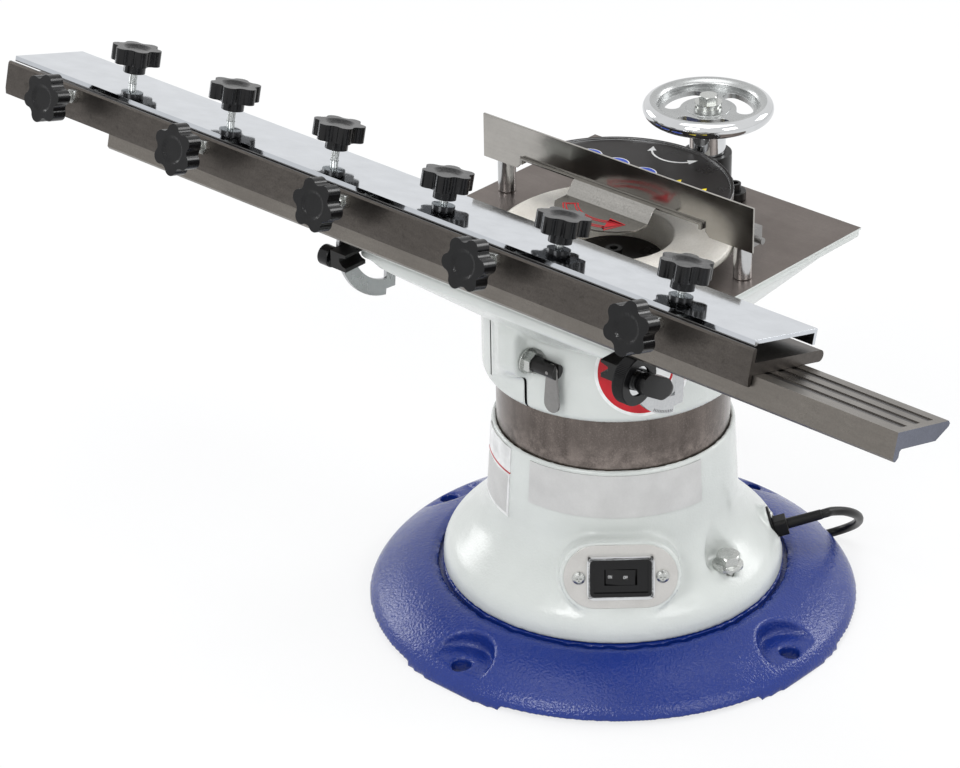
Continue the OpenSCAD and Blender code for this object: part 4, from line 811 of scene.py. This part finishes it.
def curve_at(a, b, c, d, t):
    """A point on the Catmull-Rom curve between b and c."""
    return 0.5 * ((2 * b) + (c - a) * t + (2 * a - 5 * b + 4 * c - d) * t * t
                  + (3 * b - a - 3 * c + d) * t ** 3)


def lead_route():
    """The lead's centreline in metres, from the tapered sleeve through the coil to the plug."""
    gland = on_skirt(*GLAND_AT)
    out = gland.to_3x3().col[2]
    exit_at = gland.translation / MM + SLEEVE_LEN * out
    loop = [coil_point(i / COIL_STEPS) for i in range(int(2 * COIL_TURNS * COIL_STEPS) + 1)]
    step_in = (loop[1] - loop[0]).normalized()
    points = [Vector(p) for p in LEAD_POINTS]
    knots = [exit_at, exit_at + 4 * out, *points, loop[0] - 2 * CORD_R * step_in]
    free = [knots[0]]
    for i in range(1, len(knots) - 1):
        before, after = knots[i - 1], knots[min(i + 2, len(knots) - 1)]
        for k in range(4):
            free.append(curve_at(before, knots[i], knots[i + 1], after, k / 4))
    step_out = (loop[-1] - loop[-2]).normalized()
    step_out.z = 0
    return [p * MM for p in (*free, knots[-1], *loop, loop[-1] + 2 * CORD_R * step_out)]


class GRINDER_OT_lead(Operator):
    """Lays the mains lead, its coil and its plug"""

    bl_idname = "grinder.lead"
    bl_label = "Mains lead"

    def execute(self, context):
        route = lead_route()
        curve = bpy.data.curves.new("mains_lead", "CURVE")
        curve.dimensions = "3D"
        curve.bevel_depth = CORD_R * MM
        curve.bevel_resolution = 4
        curve.use_fill_caps = True
        spline = curve.splines.new("POLY")
        spline.points.add(len(route) - 1)
        for point, place_at in zip(spline.points, route):
            point.co = (*place_at, 1)
        spline.use_smooth = True
        lead = bpy.data.objects.new("mains_lead", curve)
        context.scene.collection.objects.link(lead)
        plug = machined("mains_plug", "lead_plug", "rubber", 1.2 * MM, 3)
        pick(plug, "zinc", self.is_blade)
        curve.materials.append(MATERIALS["rubber"])
        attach(lead, "root")
        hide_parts("power_cord", "cord_coil")
        return {"FINISHED"}

    @staticmethod
    def is_blade(centre, normal):
        end = coil_point(2 * COIL_TURNS)
        step = (end - coil_point(2 * COIL_TURNS - 0.01)).normalized()
        return (centre - end).dot(step) > 2 * CORD_R + PLUG_BODY_LEN


# Castings


class GRINDER_OT_castings(Operator):
    """Models the blue foot, the motor housing and the head with soft cast skins"""

    bl_idname = "grinder.castings"
    bl_label = "Castings"

    def execute(self, context):
        voxel = context.scene.grinder_sizes.cast_voxel
        foot = cad_copy("base_casting", "foot")
        casting(foot, voxel, 3)
        self.crown(foot)
        inner, outer, low, top = FOOT_R + 0.4, FOOT_R + 4.1, LAND_Z - 5, LAND_Z + 4
        groove = [(inner, low), (outer, low), (outer, top), (inner, top)]
        self.carve(foot, ring_piece("groove_cutter", groove, 192))
        dress(foot, "blue", "root", "base_casting")
        housing = cad_copy("lower_housing", "motor_housing")
        casting(housing, voxel * 0.92, 4)
        dress(housing, "white", "root", "lower_housing")
        head = cad_copy("head_casting", "head_body")
        self.cut(head, TABLE_Z - 1.2, False)
        casting(head, voxel * 1.05, 4)
        self.true_bore(head)
        self.saw_slit(head)
        dress(head, "white", "head", "head_casting")
        # the walls of the slit and the seam get black matte: painted shade where the cut is dark from occlusion
        pick(head, "matte", self.painted_shade_in_cut)
        plate = cad_copy("head_casting", "table_plate")
        self.cut(plate, TABLE_Z - 1.6, True)
        apply(plate, "BEVEL", width=0.5 * MM, segments=2, limit_method="ANGLE", angle_limit=math.radians(40))
        weigh(plate)
        dress(plate, "white_flat", "head")
        pick(plate, "table", lambda c, n: n.z > 0.9 and c.z > TABLE_Z - 0.3)
        return {"FINISHED"}

    @staticmethod
    def cut(piece, z, keep_top):
        edit(piece, "SELECT")
        bpy.ops.mesh.bisect(plane_co=(0, 0, z * MM), plane_no=(0, 0, 1), use_fill=True,
                            clear_inner=keep_top, clear_outer=not keep_top)
        leave()

    @staticmethod
    def crown(foot):
        """Rounds the foot's top a little between its land and its rim."""
        rim = max(math.hypot(v.co.x, v.co.y) for v in foot.data.vertices) / MM
        for v in foot.data.vertices:
            share = (math.hypot(v.co.x, v.co.y) / MM - FOOT_R - 6) / (rim - FOOT_R - 6)
            if share > 0 and v.co.z > 6 * MM:
                v.co.z += CROWN * MM * math.sin(math.pi * min(1.0, share)) * min(1.0, (v.co.z / MM - 6) / 6)

    @staticmethod
    def carve(piece, cutter):
        """Cuts one piece with another, which is then thrown away."""
        apply(piece, "BOOLEAN", operation="DIFFERENCE", object=cutter, solver="EXACT")
        bpy.data.objects.remove(cutter, do_unlink=True)

    def saw_slit(self, head):
        """Saws the collar's clamping slit and the seam beside it, which the soft skin would close."""
        slit = (-90.0, 100.0, (35, 2.4, 34), 218.0)
        seam = (SEAM_AZIMUTH, 101.3, (12, 2.0, 63), 245.5)
        for azimuth, r, size, z in (slit, seam):
            turn = math.radians(azimuth)
            bpy.ops.mesh.primitive_cube_add(size=1, rotation=(0, 0, turn),
                                            location=(r * MM * math.cos(turn), r * MM * math.sin(turn), z * MM))
            blade = bpy.context.object
            blade.scale = [side * MM for side in size]
            self.carve(head, blade)

    @staticmethod
    def painted_shade_in_cut(centre, normal):
        """Whether a face of the head lies inside the slit or the seam, whose walls get black matte as painted
        shade.
        """
        r, a = math.hypot(centre.x, centre.y), math.degrees(math.atan2(centre.y, centre.x))
        outward = (centre.x * normal.x + centre.y * normal.y) / max(r, 1.0)
        in_slit = abs(centre.x) < 1.4 and a < 0 and centre.z < 231
        in_seam = abs(a - SEAM_AZIMUTH) < 0.75 and 213 < centre.z < 278
        return (in_slit or in_seam) and (abs(outward) < 0.6 or r < COLLAR_R - 2.0) and abs(normal.z) < 0.9

    @staticmethod
    def true_bore(head):
        for v in head.data.vertices:
            r = math.hypot(v.co.x, v.co.y) / MM
            if abs(r - COLUMN_R) < 0.9 and v.co.z / MM < 262:
                scale = (COLUMN_R + 0.12) / r
                v.co.x *= scale
                v.co.y *= scale


class GRINDER_OT_housing_trim(Operator):
    """Fits the bolts, the switch, the cable entry and the lead screw's nut on the housing"""

    bl_idname = "grinder.housing_trim"
    bl_label = "Housing trim"

    def execute(self, context):
        weigh(machined("housing_bolts", "flange_bolts", "zinc", 0.3 * MM, 2, 20), 22)
        machined("switch_plate", "switch_surround", "plate", 0.5 * MM, 3)
        machined("switch_plate_screws", "switch_screws", "zinc", 0.25 * MM)
        machined("switch_bezel", "switch_frame", "black", 1.0 * MM, 3)
        machined("switch_rocker", "switch_key", "black", 0.5 * MM, 3)
        machined("gland_plate", "cable_plate", "matte", 0.4 * MM)
        machined("cord_clamp", "cable_sleeve", "matte", 0.8 * MM, 3)
        machined("gland_screws", "cable_screws", "zinc", 0.25 * MM)
        machined("lift_nut", "screw_nut", "bronze", 0.5 * MM)
        lip = outline_plate("switch_lip", rounded_box(50.9, 33.9, 5.2), 3.0,
                            on_skirt(*SWITCH_AT) @ turned((0, -0.4, 1.5)), (rounded_box(46.4, 29.4, 3.5),))
        apply(lip, "BEVEL", width=0.9 * MM, segments=3, limit_method="ANGLE", angle_limit=math.radians(40))
        weigh(lip)
        dress(lip, "chrome", "root")
        return {"FINISHED"}


class GRINDER_OT_motor(Operator):
    """Finishes the column and the motor inside it"""

    bl_idname = "grinder.motor"
    bl_label = "Column and motor"

    def execute(self, context):
        machined("column_tube", "column", "column", 0.6 * MM)
        for node, name, material in (
            ("motor_stator", "stator", "iron"), ("bearings", "ball_bearings", "chrome"),
            ("bearing_carriers", "end_shields", "alloy"), ("capacitor", "run_capacitor", "alloy"),
            ("spindle_shaft", "spindle", "dull"), ("motor_rotor", "rotor", "iron"),
            ("cooling_fan", "fan", "matte"),
        ):
            machined(node, name, material, 0.5 * MM)
        return {"FINISHED"}


class GRINDER_OT_wheel(Operator):
    """Models the cup wheel, its flange and its screw"""

    bl_idname = "grinder.wheel"
    bl_label = "Grinding wheel"

    def execute(self, context):
        machined("grinding_wheel", "cup_wheel", "wheel", 1.2 * MM, 3)
        machined("wheel_flange", "wheel_seat", "oxide", 0.6 * MM)
        machined("wheel_disc", "wheel_clamp_disc", "lacquer", 0.8 * MM, 3)
        machined("wheel_screw", "wheel_socket_screw", "oxide", 0.5 * MM)
        return {"FINISHED"}


class GRINDER_OT_height_drive(Operator):
    """Models the handwheel, its lead screw and the bracket on the table"""

    bl_idname = "grinder.height_drive"
    bl_label = "Height drive"

    def execute(self, context):
        wheel = machined("handwheel", "hand_wheel", "chrome", 1.6 * MM, 4, 30)
        pick(wheel, "galvanised", lambda c, n: math.hypot(c.x, c.y - SCREW_Y) < RIM_INNER_R)
        machined("handwheel_bolt", "hand_wheel_bolt", "zinc", 0.4 * MM)
        machined("lead_screw", "screw_rod", "chrome", 0.5 * MM)
        machined("screw_bracket", "screw_holder", "oxide", 1.0 * MM, 3)
        machined("bracket_screws", "holder_screws", "oxide", 0.4 * MM)
        return {"FINISHED"}


class GRINDER_OT_guard(Operator):
    """Models the posts, the deflector strip and the half round guard"""

    bl_idname = "grinder.guard"
    bl_label = "Guard"

    def execute(self, context):
        machined("guard_posts", "posts", "satin", 0.8 * MM, 3)
        machined("deflector_strip", "strip", "strip", 0.3 * MM)
        guard = machined("wheel_guard", "guard_disc", "lacquer", 0.5 * MM)
        for y in (-0.1, 1.9):
            edit(guard, "SELECT")
            bpy.ops.mesh.bisect(plane_co=(0, y * MM, 0), plane_no=(0, 1, 0))
            leave()
        pick(guard, "tongue", lambda c, n: c.y < -0.15)
        pick(guard, "satin", lambda c, n: c.y > 1.9
             and math.hypot(c.x - GUARD_AT[0], c.y - GUARD_AT[1]) > GUARD_R - 2.8)
        machined("guard_clamps", "post_clamps", "dull", 0.6 * MM)
        return {"FINISHED"}


class GRINDER_OT_head_clamp(Operator):
    """Models the clamp screw of the head with its flap"""

    bl_idname = "grinder.head_clamp"
    bl_label = "Head clamp"

    def execute(self, context):
        machined("clamp_washer", "clamp_nut", "zinc", 0.4 * MM)
        machined("clamp_handle", "clamp_rod", "oxide", 0.6 * MM, 3)
        machined("clamp_flap", "flap", "dull", 0.4 * MM)
        machined("clamp_blocks", "lock_blocks", "oxide", 0.7 * MM, 3)
        machined("pivot_bolts", "tilt_bolts", "zinc", 0.4 * MM)
        return {"FINISHED"}


class GRINDER_OT_slideway(Operator):
    """Models the slideway, its sectors and their locks"""

    bl_idname = "grinder.slideway"
    bl_label = "Slideway"

    def execute(self, context):
        bar = machined("slideway", "slide_bar", "slideway", 0.7 * MM, 3)
        inverse = TILTED.inverted()
        upright = [(inverse @ f.center).z for f in bar.data.polygons
                   if (inverse.to_3x3() @ f.normal).z > 0.99 and f.area > 2e-4]
        floor = max(upright) - 0.4 * MM
        pick(bar, "slide_groove", lambda c, n: (inverse.to_3x3() @ n).z > 0.7
             and floor - 1.2 * MM < (inverse @ (c * MM)).z < floor)
        # only the end face towards +X gets the blue-grey tint, a painted reflection
        pick(bar, "slide_end_reflection", lambda c, n: n.x > 0.95)
        machined("tilt_sectors", "sectors", "sector", 0.4 * MM)
        machined("sector_screws", "foot_screws", "zinc", 0.4 * MM)
        machined("left_tilt_lock", "left_lock_nut", "black", 0.9 * MM, 3)
        machined("right_tilt_lock", "right_lock_lever", "black", 0.9 * MM, 3)
        self.knurl()
        return {"FINISHED"}

    @staticmethod
    def knurl():
        """The knurled grip of the right lock's ring and the bright cup inside it."""
        def across(x):
            return turned((x, *LOCK)) @ Matrix.Rotation(math.pi / 2, 4, "Y")

        step = 180 / KNURL_TEETH
        teeth = [arc_points(KNURL_R - KNURL_DEPTH * (k % 2), step * k, step * k, 1)[0]
                 for k in range(2 * KNURL_TEETH)]
        grip = outline_plate("right_lock_knurl", teeth, 9.0, across(148.8), (arc_points(16, 0, 355, 71),))
        cup = outline_plate("right_lock_cup", arc_points(10.9, 0, 355, 71), 1.6, across(152.0),
                            (arc_points(7.2, 0, 355, 71),))
        for piece, material in ((grip, "black"), (cup, "chrome")):
            smooth(piece, 30)
            dress(piece, material, "right_lock")


class GRINDER_OT_carriage(Operator):
    """Models the knife carriage, its channel, knobs and nuts"""

    bl_idname = "grinder.carriage"
    bl_label = "Knife carriage"

    def execute(self, context):
        machined("knife_carriage", "knife_bed", "carriage", 0.5 * MM, 3)
        machined("clamp_channel", "clamp_bar", "sheet", 1.2 * MM, 4)
        machined("front_lock_nuts", "lock_nuts", "zinc", 0.4 * MM)
        inverse = TILTED.inverted()
        for i in range(1, 7):
            self.knob(f"top_knob_{i}", Vector((top_x(i), STUD_V, 0)), Vector((0, 0, 1)), inverse,
                      CHANNEL_TOP + TOP_GAPS[i - 1])
        for i in range(1, 6):
            self.knob(f"front_knob_{i}", Vector((front_x(i), 0, FRONT_W)), Vector((0, -1, 0)), inverse, FRONT_HUB)
        return {"FINISHED"}

    @staticmethod
    def knob(node, at, axis, inverse, hub):
        piece = machined(node, node.replace("knob", "star_knob"), "black",
                         bpy.context.scene.grinder_sizes.knob_edge, 4, 38)

        def is_stud(centre, normal):
            local = inverse @ (centre * MM) / MM - at
            along = local.dot(axis)
            return along < hub + 0.02 and (local - axis * along).length < STUD_R

        pick(piece, "zinc", is_stud)


class GRINDER_OT_threads(Operator):
    """Cuts the threads that show on the lead screw, the studs and the lock screws"""

    bl_idname = "grinder.threads"
    bl_label = "Threads"

    def execute(self, context):
        low = turned((0, SCREW_Y, SCREW_LOW))
        thread("screw_thread", SCREW_THREAD_R, SCREW_PITCH, SCREW_LEN, low, "dull", "handwheel", 24)
        for i in range(1, 7):
            start = CHANNEL_TOP + TOP_GAPS[i - 1] - 25
            base = TILTED @ Matrix.Translation(Vector((top_x(i), STUD_V, start)) * MM)
            thread(f"top_thread_{i}", STUD_THREAD_R, STUD_PITCH, 25, base, "zinc", f"top_knob_{i}_body", 14)
        for i in range(1, 6):
            base = (TILTED @ Matrix.Translation(Vector((front_x(i), 8.8, FRONT_W)) * MM)
                    @ Matrix.Rotation(math.pi / 2, 4, "X"))
            thread(f"front_thread_{i}", STUD_THREAD_R, STUD_PITCH, 23, base, "zinc", f"front_knob_{i}_body", 14)
        return {"FINISHED"}


class GRINDER_OT_labels(Operator):
    """Lays the blank plates, the badge and the plain marks of the guard and the switch"""

    bl_idname = "grinder.labels"
    bl_label = "Labels"

    def execute(self, context):
        self.housing_label("name_plate", "label_grey", -91, -5.5, 122.5, 157.5, 0.75)
        self.housing_label("side_label", "label", -133, -104.5, 99.5, 158.4, 0.75)
        self.housing_label("side_label_panel", "label_grey", -131.5, -106, 102, 134, 0.95)
        self.housing_label("side_label_line", "label_red", -133, -104.5, 136.5, 137.8, 0.9)
        rings = ((21, "label"), (23, "label_red"), (25, "label"), (34.5, "label_red"), (37, "label"))
        badge = wrapped_disc("head_badge", COLLAR_R, -36.5, 248, rings)
        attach(badge, "head")
        self.guard_marks()
        self.switch_marks()
        self.tilt_scale()
        return {"FINISHED"}

    @staticmethod
    def tilt_scale():
        """Short strokes of the tilt scale on the right sector's lower edge."""
        inner, outer, half = 55.2, 57.2, 0.22
        strokes = []
        for a in range(236, 260, 2):
            corners = ((inner, a - half), (outer, a - half), (outer, a + half), (inner, a + half))
            strokes.append([arc_points(r, b, b, 1)[0] for r, b in corners])
        face = turned((SECTOR_FACE, PIVOT[1], PIVOT[2])) @ Matrix(((0, 0, 1), (1, 0, 0), (0, 1, 0))).to_4x4()
        scale = outline_plate("tilt_scale", strokes[0], 0.16, face, strokes[1:])
        dress(scale, "matte", "tilt")

    @staticmethod
    def housing_label(name, material, a0, a1, low, high, lift):
        heights = [low + (high - low) * k / 20 for k in range(21)]
        label = wrapped(name, lift, a0, a1, [(housing_r(z), z) for z in heights], lift + 0.1)
        dress(label, material, "root")

    @staticmethod
    def guard_marks():
        top = Matrix.Translation((0, 0, (GUARD_Z + 0.08) * MM))
        arrow = outline_plate("guard_arrow", arrow_arc(22.6, 1.5, 202, 342, 8, wing=3.4), LABEL_T,
                              top @ turned((-7, 87.6, 0)))
        dress(arrow, "label", "guard")
        for k, (x, y) in enumerate(((-55.7, 35.5), (-29.7, 36.5), (-3.0, 36.5))):
            for name, r, material, rise in (("ring", 10.8, "label", 0), ("dot", 10.0, "label_blue", 0.1)):
                round_mark = outline_plate(f"guard_{name}_{k + 1}", arc_points(r, 0, 350, 35, (x, y)), LABEL_T,
                                           top @ turned((0, 0, rise)))
                dress(round_mark, material, "guard")
        for k, x in enumerate((26.6, 50.8)):
            sign = outline_plate(f"guard_sign_{k + 1}", [(x - 8.5, 32), (x + 8.5, 32), (x, 46.5)], LABEL_T, top)
            dress(sign, "label_yellow", "guard")
        low = turned((5, 0, GUARD_Z - TONGUE_DROP + 0.08))
        for k, trim in enumerate((0.0, 2.2)):
            loops = [arrow_arc(36, 12 - 2 * d, 217 + d, 318 - 2 * d, 14 - d, False, 10.5 - 1.7 * d)
                     for d in (trim, trim + 0.9)]
            mark = outline_plate(f"tongue_arrow_{k + 1}", loops[0], LABEL_T, low, (loops[1],))
            dress(mark, "label_red", "guard")

    @staticmethod
    def switch_marks():
        rocker = on_skirt(*SWITCH_AT) @ turned((0, 0, -3)) @ Matrix.Rotation(math.radians(-7), 4, "Y")
        for words, x in (("ON", -7.6), ("OFF", 4.0)):
            lean = Matrix.Rotation(math.radians(-7.1 if x < 0 else 7.1), 4, "Y")
            rise = 4.95 - 0.125 * abs(x)
            spot = rocker @ turned((x, 0, rise)) @ lean @ Matrix.Diagonal((0.68, 1.15, 1, 1))
            lettering(f"switch_{words.lower()}", words, 2.9, spot, "label", "rocker")


# Panel and registration

OPERATORS = (
    GRINDER_OT_stage, GRINDER_OT_lead, GRINDER_OT_castings, GRINDER_OT_housing_trim, GRINDER_OT_motor,
    GRINDER_OT_wheel, GRINDER_OT_height_drive, GRINDER_OT_guard, GRINDER_OT_head_clamp, GRINDER_OT_slideway,
    GRINDER_OT_carriage, GRINDER_OT_threads, GRINDER_OT_labels,
)


class GRINDER_PT_panel(Panel):
    """Lists the colours, sizes and building steps"""

    bl_label = "Planer Knife Grinder"
    bl_idname = "GRINDER_PT_panel"
    bl_space_type = "VIEW_3D"
    bl_region_type = "UI"
    bl_category = "Grinder"

    def draw(self, context):
        layout = self.layout
        for group in (context.scene.grinder_colours, context.scene.grinder_sizes):
            box = layout.box()
            for name in group.__annotations__:
                box.prop(group, name)
        for operator in OPERATORS:
            layout.operator(operator.bl_idname)


CLASSES = (GrinderColours, GrinderSizes, *OPERATORS, GRINDER_PT_panel)


def register():
    for cls in CLASSES:
        bpy.utils.register_class(cls)
    bpy.types.Scene.grinder_colours = PointerProperty(type=GrinderColours)
    bpy.types.Scene.grinder_sizes = PointerProperty(type=GrinderSizes)


def unregister():
    del bpy.types.Scene.grinder_colours
    del bpy.types.Scene.grinder_sizes
    for cls in reversed(CLASSES):
        bpy.utils.unregister_class(cls)


def main():
    register()
    make_materials(bpy.context.scene.grinder_colours)
    for operator in OPERATORS:
        group, name = operator.bl_idname.split(".")
        getattr(getattr(bpy.ops, group), name)()


if __name__ == "__main__":
    main()
